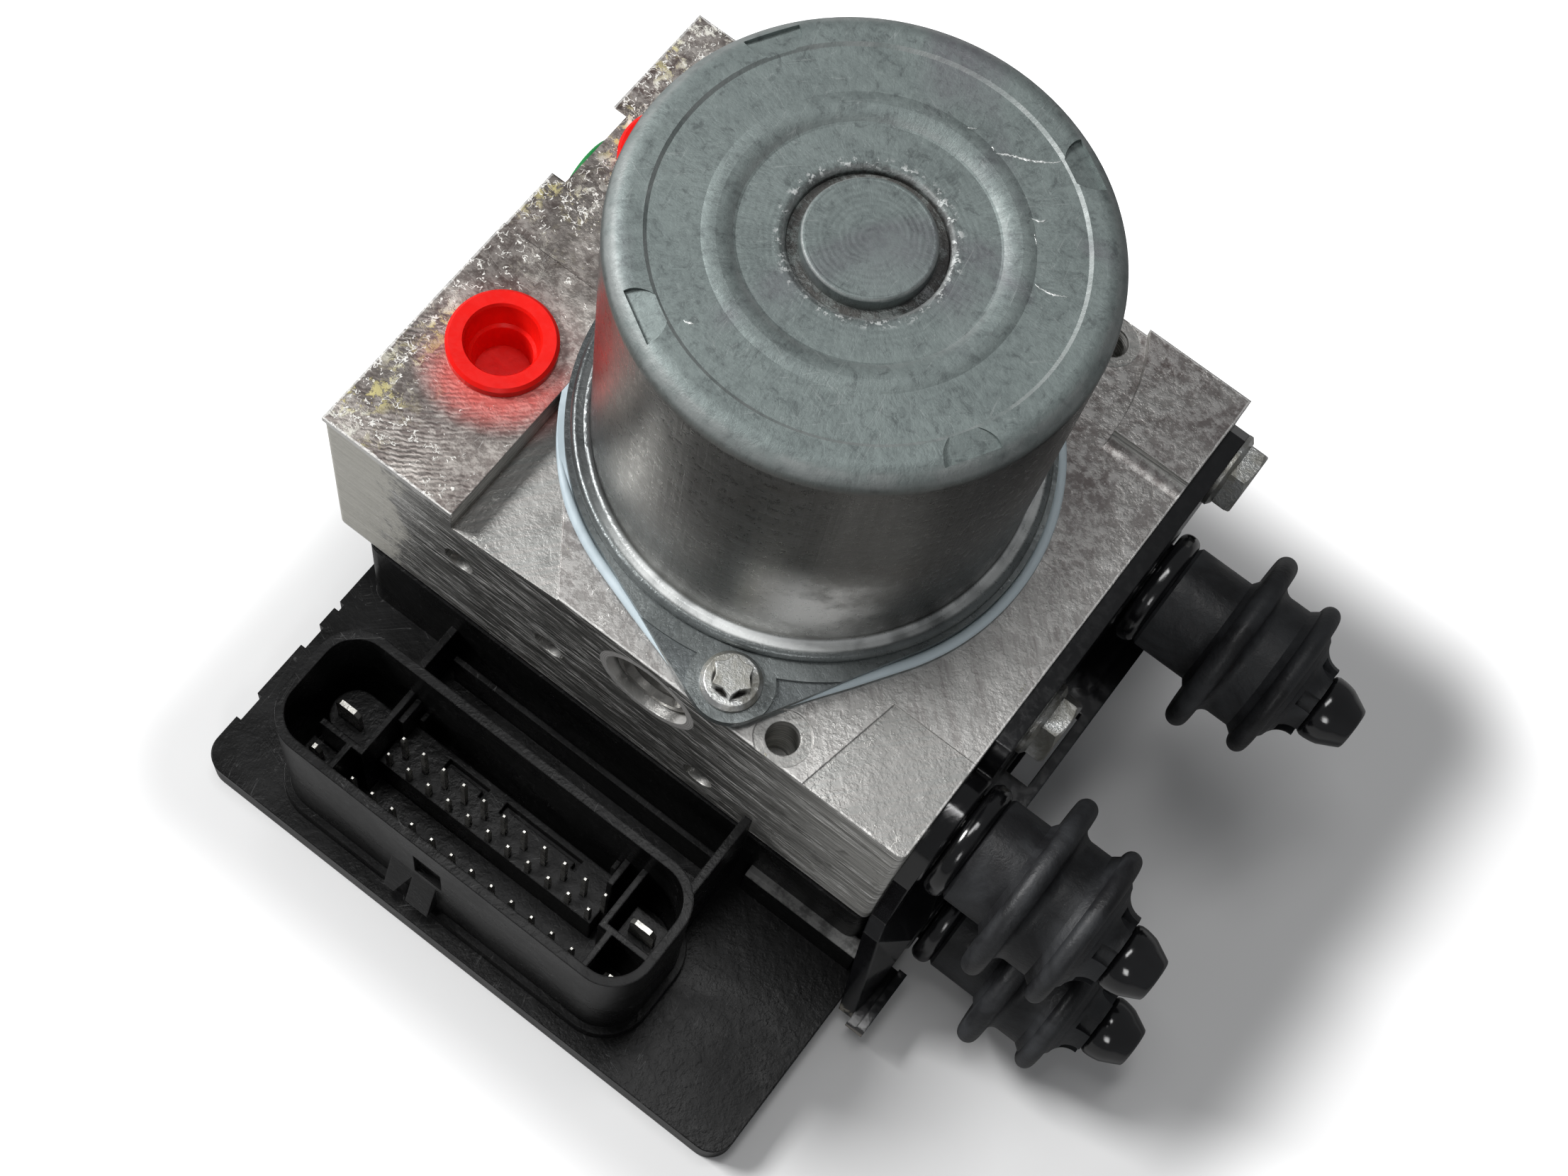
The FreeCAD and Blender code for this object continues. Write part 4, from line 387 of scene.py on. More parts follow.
# Painted glints: bright pin pricks in patches.
painted_glints = ramp(tree, noise(tree, place, 1900.0, 2.0, 0.7), 0.66, 0.74)
painted_glints = times(tree, painted_glints, ramp(tree, noise(tree, place, 130.0, 3.0, 0.7), 0.45, 0.62))
top_tone = blend(tree, painted_glints, top_tone, aluminium_bright)

# Freshly milled flats: the hollow beside the left pad and the patch at the front right corner.
hollow = ramp(tree, axes["Z"], block_top_z - 0.00015, block_top_z - 0.0002)
mill = noise(tree, stretched(tree, place, (2400, 60, 60), (0, 0, 0.72)), 1.0, 3.0, 0.6)
milled_tone = blend(tree, ramp(tree, mill, 0.3, 0.7), aluminium_bare, aluminium_milled)
top_tone = blend(tree, hollow, top_tone, milled_tone)

# The left pad: arcs of a large face mill around a far centre.
arcs = put(tree, "ShaderNodeTexWave",
           {"Vector": stretched(tree, place, (1, 1, 1), (0, 0, 0), mill_centre),
            "Scale": 400.0, "Distortion": 5.0, "Detail": 4.0, "Detail Scale": 2.0},
           wave_type="RINGS", rings_direction="Z").outputs["Fac"]
arc_zone = ramp(tree, noise(tree, place, 95.0, 4.0, 0.65), 0.40, 0.62, 0.10, 0.60)
arc_zone = times(tree, arc_zone, ramp(tree, axes["Y"], -0.012, -0.026, 0.06, 1.0))
arc_mask = times(tree, arcs, times(tree, pad, arc_zone))
pad_cloud = ramp(tree, noise(tree, place, 48.0, 5.0, 0.65, 0.6), 0.38, 0.64)
pad_tone = blend(tree, pad_cloud, (0.52, 0.49, 0.47, 1), (1.08, 1.04, 1.0, 1))
top_tone = blend(tree, pad, top_tone, blend(tree, 1.0, top_tone, pad_tone, "MULTIPLY"))
top_tone = blend(tree, arc_mask, top_tone, aluminium_stain)

# The wiped corner at the front right, where the grey bloom was rubbed off in slanting strokes.
wiped = times(tree, ramp(tree, axes["X"], -0.030, 0.016), ramp(tree, axes["Y"], 0.024, -0.006))
strokes = noise(tree, stretched(tree, place, (60, 700, 60), (0, 0, 0.75)), 1.0, 4.0, 0.65)
wiped = times(tree, wiped, ramp(tree, strokes, 0.30, 0.62, 0.25, 0.85))
patch = times(tree, hollow, ramp(tree, axes["X"], 0.022, 0.026))
wiped = times(tree, wiped, minus(tree, 1.0, times(tree, patch, 0.7)))
top_tone = blend(tree, wiped, top_tone, (0.47, 0.465, 0.45, 1.0))

# The sides: level saw and drawing streaks, dark with bright hair lines.
streak = noise(tree, stretched(tree, place, (34, 34, 2900), (0.0, 0.02, 0.0)), 1.0, 4.0, 0.72)
hair = noise(tree, stretched(tree, place, (150, 150, 4200), (0.0, -0.04, 0.0)), 1.0, 3.0, 0.75)
side_tone = blend(tree, ramp(tree, streak, 0.36, 0.66), (0.16, 0.158, 0.150, 1),
                  (0.46, 0.454, 0.43, 1))
# Painted light: the sides are painted brighter toward both ends and darker in the middle.
painted_end_light = plus(tree, ramp(tree, axes["X"], -0.044, -0.032, 1.25, 0.95),
             ramp(tree, axes["X"], 0.008, 0.040, 0.0, 1.0))
side_tone = put(tree, "ShaderNodeVectorMath", {0: side_tone, "Scale": painted_end_light},
                operation="SCALE").outputs[0]
broken = noise(tree, stretched(tree, place, (60, 60, 400)), 1.0, 4.0, 0.7)
hair_lines = times(tree, ramp(tree, hair, 0.535, 0.575), ramp(tree, broken, 0.38, 0.58, 0.25, 1.0))
hair_lines = times(tree, hair_lines, ramp(tree, facing["Y"], -0.2, -0.8, 0.4, 1.0))
side_tone = blend(tree, hair_lines, side_tone, (0.86, 0.85, 0.82, 1))
grime = ramp(tree, noise(tree, place, 160.0, 5.0, 0.7, 0.8), 0.58, 0.70, 0.0, 0.50)
side_tone = blend(tree, grime, side_tone, (0.09, 0.085, 0.075, 1))

# The left end of the front is bare and pale.
pale_from = plus(tree, axes["X"], ramp(tree, noise(tree, place, 150.0, 4.0, 0.7), 0.3, 0.7,
                                       -0.003, 0.003))
pale = times(tree, ramp(tree, pale_from, bare_end_x, -0.0450),
             ramp(tree, facing["Y"], -0.5, -0.8))
side_tone = blend(tree, times(tree, pale, 0.75), side_tone, (0.62, 0.60, 0.53, 1))
right_end = ramp(tree, axes["X"], 0.010, 0.044, 0.12, 0.45)
not_metal = sums(tree, "MAXIMUM", right_end, sums(tree, "MAXIMUM", pale, hair_lines))
not_metal = times(tree, not_metal, minus(tree, 0.6, times(tree, top_side, 0.6)))
colour = blend(tree, top_side, side_tone, top_tone)

# A bright countersunk ring around each pump plug, turned after the face was sawn.
which_face = sums(tree, "SIGN", axes["Y"])
off_x = plus(tree, axes["X"], times(tree, which_face, plug_axis[0]))
off_z = minus(tree, axes["Z"], plug_axis[1])
from_plug = away(tree, off_x, off_z)
collar = ramp(tree, from_plug, plug_ring_radius, 0.0083)
collar = times(tree, collar, ramp(tree, sums(tree, "ABSOLUTE", axes["Y"]), plug_face_y,
                                  0.0412))
collar = times(tree, collar, minus(tree, 1.0, top_side))
turning = sums(tree, "SINE", times(tree, from_plug, plug_mark_rate))
colour = blend(tree, collar, colour, blend(tree, ramp(tree, turning, -1.0, 1.0, 0.2, 0.8),
                                           aluminium_bare, aluminium_bright))

# White and yellow salts, thickest along the left edge of the pad.
crust = bring(tree, specks, Place=place, Size=1500.0, Amount=0.62)
blister = ramp(tree, noise(tree, place, 520.0, 5.0, 0.75, 0.4), 0.50, 0.58)
left_edge = ramp(tree, axes["X"], salt_start_x, -0.054)
growth = times(tree, ramp(tree, noise(tree, place, 85.0, 3.0, 0.6), 0.40, 0.58),
               times(tree, left_edge, top_side))
crust_mask = sums(tree, "MAXIMUM", times(tree, growth, blister),
                  times(tree, crust["Mask"], sums(tree, "MAXIMUM", pad, 0.40)))
colour = blend(tree, crust_mask, colour,
               blend(tree, ramp(tree, noise(tree, place, 130.0), 0.42, 0.60), corrosion_yellow,
                     corrosion_white))
thick = plus(tree, 0.22, times(tree, ramp(tree, axes["X"], salt_start_x, -0.055), 0.45))
thick = plus(tree, thick, times(tree, ramp(tree, noise(tree, place, 70.0, 3.0, 0.6),
                                           0.45, 0.62), 0.35))
crumbs = bring(tree, flakes, Place=place, Size=720.0, Amount=thick)
crumbs = times(tree, crumbs["Mask"], sums(tree, "MAXIMUM", pad, times(tree, top_side, 0.45)))
crust_mask = sums(tree, "MAXIMUM", crust_mask, crumbs)
colour = blend(tree, crumbs, colour, (0.78, 0.77, 0.73, 1.0))
marks = bring(tree, scratches, Place=place, Amount=0.30)
colour = blend(tree, times(tree, marks["Mask"], top_side), colour, aluminium_bright)

# The red light that the translucent cap throws on the metal round its foot.
cap_off_x = minus(tree, axes["X"], cap_axis[0])
cap_off_y = minus(tree, axes["Y"], cap_axis[1])
glow = times(tree, ramp(tree, away(tree, cap_off_x, cap_off_y), 0.0140, 0.0080), top_side)
below_cap = minus(tree, times(tree, cap_off_x, 0.5), cap_off_y)
glow = times(tree, glow, ramp(tree, below_cap, -0.002, 0.008, 0.12, 1.0))
colour = blend(tree, times(tree, glow, 0.55), colour, (0.85, 0.12, 0.10, 1.0))
worn = bring(tree, edge_wear, Place=place, Low=worn_box_low, High=worn_box_high, Width=0.00035)
colour = blend(tree, times(tree, worn["Mask"], 0.8), colour, aluminium_bright)

roughness = ramp(tree, cloud["Clouds"], 0.0, 1.0, 0.50, 0.38)
roughness = blend(tree, top_side, (0.36, 0.36, 0.36, 1), roughness)
roughness = plus(tree, roughness, times(tree, crust_mask, 0.35))
height = times(tree, plus(tree, streak, hair), minus(tree, 0.2, times(tree, top_side, 0.2)))
height = plus(tree, height, times(tree, cloud["Grain"], 0.5))
height = plus(tree, height, times(tree, arc_mask, 1.2))
height = plus(tree, height, times(tree, crust_mask, 1.5))
not_metal = sums(tree, "MAXIMUM", crust_mask, not_metal)
not_metal = sums(tree, "MAXIMUM", not_metal, times(tree, collar, 0.5))
surface(tree, output,
        {"Base Color": colour, "Metallic": ramp(tree, not_metal, 0.0, 1.0, 0.86, 0.05),
         "Roughness": roughness,
         "Normal": bumped(tree, 0.45, 0.00012, height, soft_edges(tree, 0.00025))})


def dress(material, *nodes):
    """Gives CAD nodes a material."""
    for node in nodes:
        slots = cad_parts[node].data.materials
        slots.clear()
        slots.append(material)


dress(block_finish, "valve_block")


# Pump plugs, channel balls and accumulator caps. Turned and pressed steel, darker than the
# block, staked or driven into their bores.

def turned_steel(name, tone, metallic=0.9, roughness=0.35):
    """Machined steel: a plain tone broken by bloom, with fine marks in its roughness."""
    material, tree, output = blank_material(name)
    place = own_place(tree)
    cloud = bring(tree, bloom, Place=place, Size=120.0)
    darker, brighter = (tuple(min(1.0, share * c) for c in tone[:3]) + (1.0,)
                        for share in (0.62, 1.5))
    colour = blend(tree, cloud["Clouds"], darker, tone)
    marks = bring(tree, scratches, Place=place, Amount=0.5)
    colour = blend(tree, marks["Mask"], colour, brighter)
    rough = ramp(tree, cloud["Grain"], 0.0, 1.0, roughness + 0.08, roughness - 0.05)
    surface(tree, output, {"Base Color": colour, "Metallic": metallic, "Roughness": rough,
                           "Normal": bumped(tree, 0.2, 0.00005, cloud["Grain"])})
    return material


plug_steel = turned_steel("plug_steel", (0.34, 0.33, 0.31, 1.0))
ball_steel = turned_steel("ball_steel", (0.50, 0.50, 0.49, 1.0), roughness=0.24)
dress(plug_steel, "pump_plug_front", "pump_plug_rear", "accumulator_caps")
dress(ball_steel, "channel_balls")


# Motor can. Deep drawn steel with a dull zinc coat: teal-grey and mottled on top with a few
# bright cuts, smoother and browner down the drawn side, with a painted sheen on the rim. Heights
# and radii are in metres, angles in radians round the motor axis.

zinc_top = (0.125, 0.150, 0.148, 1.0)
zinc_top_light = (0.215, 0.252, 0.245, 1.0)
zinc_top_dark = (0.055, 0.064, 0.066, 1.0)
zinc_violet = (0.130, 0.118, 0.138, 1.0)
zinc_side = (0.14, 0.137, 0.127, 1.0)
zinc_side_light = (0.23, 0.228, 0.216, 1.0)
zinc_worn = (0.62, 0.64, 0.63, 1.0)
zinc_burnt = (0.030, 0.028, 0.028, 1.0)
can_top_z, rim_low_z, foot_top_z, pocket_floor_z = 0.1236, 0.1200, 0.0712, 0.0685
boss_radius, foot_radius = 0.0086, 0.0322
spinning_mark_rate = 7600.0
reflection_angle, reflection_z = -0.98, 0.083

can_finish, tree, output = blank_material("can_finish")
place = own_place(tree)
axes = split(tree, place)
facing = split(tree, put(tree, "ShaderNodeNewGeometry").outputs["Normal"])
round_place = bring(tree, turned_place, Place=place)
radial = round_place["Radius"]
top_side = ramp(tree, axes["Z"], can_top_z, 0.1264)
cloud = bring(tree, bloom, Place=place, Size=95.0)

# The top: blotches a few millimetres wide, torn outwards in short radial strokes.
polar = put(tree, "ShaderNodeCombineXYZ",
            {"X": times(tree, round_place["Angle"], 26.0),
             "Y": times(tree, radial, 420.0)}).outputs[0]
strokes = noise(tree, polar, 1.0, 5.0, 0.72, 1.2)
leather = put(tree, "ShaderNodeTexVoronoi", {"Vector": place, "Scale": 330.0, "Randomness": 1.0,
                                             "Detail": 3.0, "Roughness": 0.7},
              feature="F1").outputs["Distance"]
top_tone = blend(tree, cloud["Clouds"], zinc_top, zinc_top_light)
feather = times(tree, ramp(tree, strokes, 0.44, 0.60),
                ramp(tree, noise(tree, place, 60.0, 3.0, 0.6), 0.34, 0.58, 0.25, 1.0))
top_tone = blend(tree, times(tree, feather, 0.60), top_tone, zinc_top_dark)
top_tone = blend(tree, ramp(tree, strokes, 0.44, 0.34, 0.0, 0.5), top_tone, zinc_top_light)
top_tone = blend(tree, ramp(tree, leather, 0.45, 0.85, 0.0, 0.45), top_tone, zinc_top_light)
mottle = noise(tree, place, 480.0, 6.0, 0.74, 0.5)
top_tone = blend(tree, ramp(tree, mottle, 0.50, 0.60, 0.0, 0.65), top_tone, zinc_top_light)
top_tone = blend(tree, ramp(tree, mottle, 0.47, 0.36, 0.0, 0.50), top_tone, zinc_top_dark)
violet = ramp(tree, noise(tree, place, 30.0, 3.0, 0.5, 0.6), 0.54, 0.68, 0.0, 0.8)
top_tone = blend(tree, violet, top_tone, zinc_violet)
top_tone = blend(tree, times(tree, cloud["Grain"], 0.30), top_tone, zinc_top_light)

# Around the boss the metal was torn by the drawing tool: a burnt ring with bright crumbs.
torn = times(tree, ramp(tree, radial, boss_radius, 0.0089), ramp(tree, radial, 0.0118, 0.0100))
torn = times(tree, torn, ramp(tree, noise(tree, place, 420.0, 4.0, 0.75), 0.38, 0.55))
top_tone = blend(tree, torn, top_tone, zinc_burnt)
crumbs = times(tree, ramp(tree, radial, 0.0101, 0.0106), ramp(tree, radial, 0.0122, 0.0112))
crumbs = times(tree, crumbs, ramp(tree, noise(tree, place, 900.0, 3.0, 0.7), 0.55, 0.62))
top_tone = blend(tree, times(tree, crumbs, 0.8), top_tone, zinc_worn)
spun = sums(tree, "SINE", plus(tree, times(tree, radial, spinning_mark_rate),
                               times(tree, cloud["Clouds"], 4.0)))
spun = times(tree, ramp(tree, spun, -1.0, 1.0), ramp(tree, radial, 0.0200, 0.0070))
spun = times(tree, spun, ramp(tree, noise(tree, place, 170.0, 3.0, 0.6), 0.35, 0.65))
top_tone = blend(tree, times(tree, spun, 0.20), top_tone, zinc_top_dark)

# The drawn side: long upright shades, level rings, and brown clouds.
drawn = noise(tree, stretched(tree, place, (70, 70, 9)), 1.0, 4.0, 0.6)
level = noise(tree, stretched(tree, place, (12, 12, 520)), 1.0, 4.0, 0.6)
side_tone = blend(tree, ramp(tree, drawn, 0.35, 0.7), zinc_side, zinc_side_light)
side_tone = blend(tree, ramp(tree, level, 0.48, 0.62, 0.0, 0.35), side_tone, zinc_side)
smoke = noise(tree, stretched(tree, place, (34, 34, 60)), 1.0, 4.0, 0.6, 0.5)
side_tone = blend(tree, times(tree, ramp(tree, smoke, 0.50, 0.70), 0.5), side_tone,
                  (0.15, 0.135, 0.12, 1.0))

# A painted reflection of the lit block top, bright low on the front; beside it painted shade,
# nearly black, on the right and the left.
turned_off = sums(tree, "ABSOLUTE", plus(tree, round_place["Angle"], -reflection_angle))
height_off = sums(tree, "ABSOLUTE", minus(tree, axes["Z"], reflection_z))
painted_reflection = times(tree, ramp(tree, turned_off, 0.42, 0.05), ramp(tree, height_off, 0.017, 0.003))
frayed = ramp(tree, noise(tree, place, 120.0, 4.0, 0.6), 0.30, 0.58, 0.4, 1.0)
painted_reflection = times(tree, painted_reflection, frayed)
side_tone = blend(tree, painted_reflection, side_tone, (0.92, 0.91, 0.88, 1.0))
# Painted shade on the right and the left of the side.
right_painted_shade = times(tree, ramp(tree, round_place["Angle"], -0.74, -0.40, 0.0, 0.93),
                    ramp(tree, round_place["Angle"], 1.0, 0.45))
left_painted_shade = times(tree, ramp(tree, round_place["Angle"], -1.7, -2.5, 0.0, 0.62),
                   ramp(tree, round_place["Angle"], -3.1, -2.8))
side_tone = blend(tree, sums(tree, "MAXIMUM", right_painted_shade, left_painted_shade), side_tone,
                  (0.06, 0.059, 0.056, 1.0))
colour = blend(tree, top_side, side_tone, top_tone)

# The flange and its foot: the same grey-blue coat as the top, with painted shade in the pockets
# and a painted highlight on the foot's lip.
low_side = ramp(tree, axes["Z"], foot_top_z, 0.0700)
flange_tone = blend(tree, cloud["Clouds"], (0.135, 0.150, 0.150, 1.0), (0.225, 0.245, 0.245, 1.0))
# Painted shade in the pockets of the flange.
painted_pocket_shade = times(tree, ramp(tree, axes["Z"], pocket_floor_z, 0.06835),
               ramp(tree, facing["Z"], 0.5, 0.9))
flange_tone = blend(tree, times(tree, painted_pocket_shade, 0.5), flange_tone, (0.10, 0.112, 0.118, 1.0))
colour = blend(tree, low_side, colour, flange_tone)
# A painted highlight along the foot's lip, faint on the left.
lip_highlight = times(tree, ramp(tree, radial, foot_radius, 0.0326), ramp(tree, radial, 0.0342, 0.0336))
lip_highlight = times(tree, lip_highlight, ramp(tree, facing["Z"], 0.15, 0.5))
frayed = ramp(tree, noise(tree, place, 90.0, 3.0, 0.6), 0.36, 0.56, 0.2, 1.0)
lip_highlight = times(tree, lip_highlight, times(tree, ramp(tree, axes["Z"], 0.0718, 0.0714), frayed))
lip_highlight = times(tree, lip_highlight, ramp(tree, round_place["Angle"], -2.1, -1.6, 0.2, 1.0))
colour = blend(tree, times(tree, lip_highlight, 0.9), colour, (0.90, 0.92, 0.91, 1.0))
foot_shade = times(tree, ramp(tree, axes["Z"], 0.0740, 0.0725),
                   ramp(tree, round_place["Angle"], -1.9, -2.4, 0.0, 0.75))
colour = blend(tree, foot_shade, colour, (0.05, 0.053, 0.055, 1.0))
# A painted sheen on the rounded rim.
rim_sheen = times(tree, ramp(tree, facing["Z"], 0.30, 0.55), ramp(tree, facing["Z"], 0.97, 0.80))
rim_sheen = times(tree, rim_sheen, ramp(tree, axes["Z"], rim_low_z, 0.1222))
rim_sheen = times(tree, rim_sheen, ramp(tree, noise(tree, place, 150.0, 3.0, 0.6), 0.35, 0.60, 0.15, 0.6))
colour = blend(tree, rim_sheen, colour, (0.36, 0.375, 0.37, 1.0))
marks = bring(tree, scratches, Place=place, Amount=0.16)
colour = blend(tree, marks["Mask"], colour, zinc_worn)
dirt = bring(tree, specks, Place=place, Size=620.0, Amount=0.26)
colour = blend(tree, times(tree, dirt["Mask"], minus(tree, 1.0, low_side)), colour, zinc_burnt)
metallic = ramp(tree, top_side, 0.0, 1.0, 0.90, 0.55)
metallic = sums(tree, "MAXIMUM", metallic, rim_sheen)
metallic = minus(tree, metallic, times(tree, low_side, 0.35))
metallic = minus(tree, metallic, times(tree, lip_highlight, 0.6), clamp=True)
metallic = minus(tree, metallic, times(tree, painted_reflection, 0.62), clamp=True)
roughness = plus(tree, ramp(tree, top_side, 0.0, 1.0, 0.27, 0.55),
                 times(tree, cloud["Grain"], 0.08))
height = plus(tree, times(tree, cloud["Grain"], 0.5), plus(tree, times(tree, spun, 0.5), torn))
height = plus(tree, height, times(tree, feather, -0.4))
surface(tree, output, {"Base Color": colour, "Metallic": metallic, "Roughness": roughness,
                       "Normal": bumped(tree, 0.30, 0.00012, height)})
dress(can_finish, "motor_can")

# Cuts and burrs on the can's top, where a tool slipped: bright raised slivers, and one loose chip.
cut_tracks = (
    ((-4.1, 19.9), (-3.2, 19.1), (-1.2, 19.6), (1.2, 21.2)),
    ((4.1, 19.2), (4.6, 19.9), (4.1, 20.4)),
    ((5.4, 18.8), (4.4, 19.4), (6.3, 20.7), (9.2, 22.0), (11.4, 23.5), (12.4, 25.1)),
    ((6.3, 18.4), (8.5, 18.0), (10.5, 17.4)),
    ((13.3, 15.2), (14.5, 14.4), (16.4, 12.6)),
    ((13.8, 15.3), (14.8, 15.6), (15.3, 16.4)),
    ((19.2, 8.1), (20.2, 8.1), (21.8, 8.4), (23.3, 9.3)),
    ((-10.8, -23.3), (-10.0, -23.2), (-9.4, -22.8)),
)
plateau_z = 126.95
track_points_per_mm = 6
track_jitter = 0.05
millimetre = 0.001


def burr(track, width, height, seed):
    """A sliver along a track: its half width swells and narrows along the way as the sine of the
    distance from 0 to half a turn times a jagged noise, and its section is a low ridge."""
    random = np.random.default_rng(seed)
    corners = np.array(track)
    lengths = np.r_[0.0, np.cumsum(np.linalg.norm(np.diff(corners, axis=0), axis=1))]
    count = max(12, int(lengths[-1] * track_points_per_mm))
    way = np.linspace(0.0, lengths[-1], count)
    line = np.stack([np.interp(way, lengths, corners[:, k]) for k in (0, 1)], axis=1)
    line += random.normal(0.0, track_jitter, line.shape)
    ahead = np.gradient(line, axis=0)
    ahead /= np.linalg.norm(ahead, axis=1, keepdims=True)
    across = np.stack([-ahead[:, 1], ahead[:, 0]], axis=1)
    swell = np.sin(np.linspace(0.12, np.pi - 0.12, count))
    swell = swell * random.uniform(0.35, 1.0, count) * width
    offsets = np.array([1.0, 0.35, -0.35, -1.0, -1.0, 1.0])
    lifts = np.array([0.0, 0.7, 1.0, 0.0, -1.0, -1.0]) * height
    flat = line[:, None, :] + across[:, None, :] * (swell[:, None] * offsets)[:, :, None]
    tall = plateau_z + lifts[None, :] * (0.4 + 0.6 * random.uniform(0.0, 1.0, count))[:, None]
    return np.concatenate([flat, tall[:, :, None]], axis=2)


def pipe_piece(name, pipes, material):
    """One piece from pipes with closed ends. Each pipe is a grid of points in millimetres: a row
    is one section, and four-sided faces run from point to point round it and on to the next."""
    points = np.concatenate([pipe.reshape(-1, 3) for pipe in pipes]) * millimetre
    faces, start = [], 0
    for pipe in pipes:
        rows, columns = pipe.shape[:2]
        r, c = np.meshgrid(np.arange(rows - 1), np.arange(columns), indexing="ij")
        n = (c + 1) % columns
        sides = np.stack([r * columns + c, r * columns + n, (r + 1) * columns + n,
                          (r + 1) * columns + c], axis=-1)
        faces += (sides.reshape(-1, 4) + start).tolist()
        faces.append([start + k for k in reversed(range(columns))])
        faces.append([start + (rows - 1) * columns + k for k in range(columns)])
        start += rows * columns
    mesh = bpy.data.meshes.new(name)
    mesh.from_pydata(points.tolist(), [], faces)
    mesh.polygons.foreach_set("use_smooth", [True] * len(mesh.polygons))
    mesh.materials.append(material)
    piece = bpy.data.objects.new(name, mesh)
    bpy.context.collection.objects.link(piece)
    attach(piece, "hydraulic_unit")


burr_metal, tree, output = blank_material("burr_metal")
place = own_place(tree)
tone = blend(tree, ramp(tree, noise(tree, place, 1500.0, 2.0, 0.6), 0.3, 0.7),
             (0.50, 0.53, 0.52, 1.0), (0.90, 0.92, 0.90, 1.0))
surface(tree, output, {"Base Color": tone, "Metallic": 0.5, "Roughness": 0.38})
pipe_piece("can_top_cuts", [burr(track, width=0.22, height=0.10, seed=5 + number)
                            for number, track in enumerate(cut_tracks)], burr_metal)


# Motor seal. A flat gasket of pale blue silicone whose lip stands out around the flange, with
# painted light that makes it greyer on the left and paler on the right. The rounded lip is a
# piece of its own, seal_bead.

seal_blue, tree, output = blank_material("seal_blue")
place = own_place(tree)
cloud = bring(tree, bloom, Place=place, Size=90.0)
colour = blend(tree, cloud["Clouds"], (0.40, 0.48, 0.52, 1.0), (0.55, 0.64, 0.69, 1.0))
axes = split(tree, place)
# Painted light: paler toward the right.
colour = blend(tree, ramp(tree, axes["X"], -0.020, 0.020), colour, (0.72, 0.83, 0.88, 1.0))
surface(tree, output, {"Base Color": colour, "Roughness": 0.55})
dress(seal_blue, "motor_seal")

# The lip's soft bead. Its path is the outline round three circles, the flange and its two ears: in
# each direction the farthest point of any circle. It is cut off where the left pad stands. A
# section is a circle whose lowest point lies on the block; it is slimmer at the ears and the pad.
flange_lip_radius, ear_lip_radius = 36.55, 4.75
ear_x, ear_y = 13.63, -37.6
ear_bead_radius, bead_swell = 0.48, 0.34
bead_end_x, bead_foot_z = -32.2, 66.0
directions, path_points, bead_sides = 720, 700, 12
facing_out = np.linspace(-np.pi, np.pi, directions, endpoint=False)
heading = np.stack([np.cos(facing_out), np.sin(facing_out)], axis=1)
circles = np.array([[0.0, 0.0, flange_lip_radius], [ear_x, ear_y, ear_lip_radius],
                    [-ear_x, -ear_y, ear_lip_radius]])
reaches = heading @ circles[:, :2].T + circles[:, 2]
farthest = circles[np.argmax(reaches, axis=1)]
outline = farthest[:, :2] + farthest[:, 2:] * heading
outline = np.roll(outline, -np.argmin(outline[:, 0]), axis=0)
steps = np.r_[0.0, np.cumsum(np.linalg.norm(np.diff(outline, axis=0), axis=1))]
even = np.linspace(0.0, steps[-1], path_points)
outline = np.stack([np.interp(even, steps, outline[:, k]) for k in (0, 1)], axis=1)
outline = outline[outline[:, 0] > bead_end_x]
ahead = np.gradient(outline, axis=0)
ahead /= np.linalg.norm(ahead, axis=1, keepdims=True)
outward = np.stack([ahead[:, 1], -ahead[:, 0]], axis=1)
from_ear = np.min([np.linalg.norm(outline - circles[k, :2], axis=1) for k in (1, 2)], axis=0)
thick = ear_bead_radius + bead_swell * np.clip((from_ear - 7.0) / 10.0, 0.0, 1.0)
thick = thick * np.clip((outline[:, 0] + 34.5) / 14.0, 0.3, 1.0)
round_way = np.linspace(0.0, 2.0 * np.pi, bead_sides, endpoint=False)
sideways = (thick[:, None] * np.sin(round_way))[:, :, None]
bead_flat = outline[:, None, :] + outward[:, None, :] * sideways
bead_height = bead_foot_z + thick[:, None] * (1.0 + np.cos(round_way))
seal_bead = np.concatenate([bead_flat, bead_height[:, :, None]], axis=2)
pipe_piece("seal_bead", [seal_bead], seal_blue)


# Screws and bolts. Zinc plated steel, clouded with a yellowish bloom and specked with brown
# dirt.

plated, tree, output = blank_material("zinc_plate")
place = own_place(tree)
cloud = bring(tree, bloom, Place=place, Size=260.0)
colour = blend(tree, cloud["Clouds"], (0.34, 0.33, 0.29, 1.0), (0.66, 0.67, 0.66, 1.0))
crust = bring(tree, specks, Place=place, Size=1900.0, Amount=0.5)
colour = blend(tree, crust["Mask"], colour, (0.20, 0.17, 0.13, 1.0))

# Darker round the foot of the raised star on the motor screws, whose heads stand at two mirrored
# places.
head_axis = (-0.0136, 0.0376)
axes = split(tree, place)
side_sign = sums(tree, "SIGN", axes["Y"])
head_off_x = minus(tree, axes["X"], times(tree, side_sign, head_axis[0]))
head_off_y = minus(tree, axes["Y"], times(tree, side_sign, head_axis[1]))
star_foot_dark = times(tree, ramp(tree, away(tree, head_off_x, head_off_y), 0.0030, 0.0026),
                  ramp(tree, axes["Z"], 0.07165, 0.0712))
colour = blend(tree, star_foot_dark, colour, (0.035, 0.033, 0.030, 1.0))
surface(tree, output,
        {"Base Color": colour, "Metallic": 0.9,
         "Roughness": ramp(tree, cloud["Clouds"], 0.0, 1.0, 0.5, 0.28),
         "Normal": bumped(tree, 0.3, 0.00008, cloud["Grain"], soft_edges(tree, 0.0002))})
dress(plated, "motor_screws", "bracket_bolts", "controller_screws")


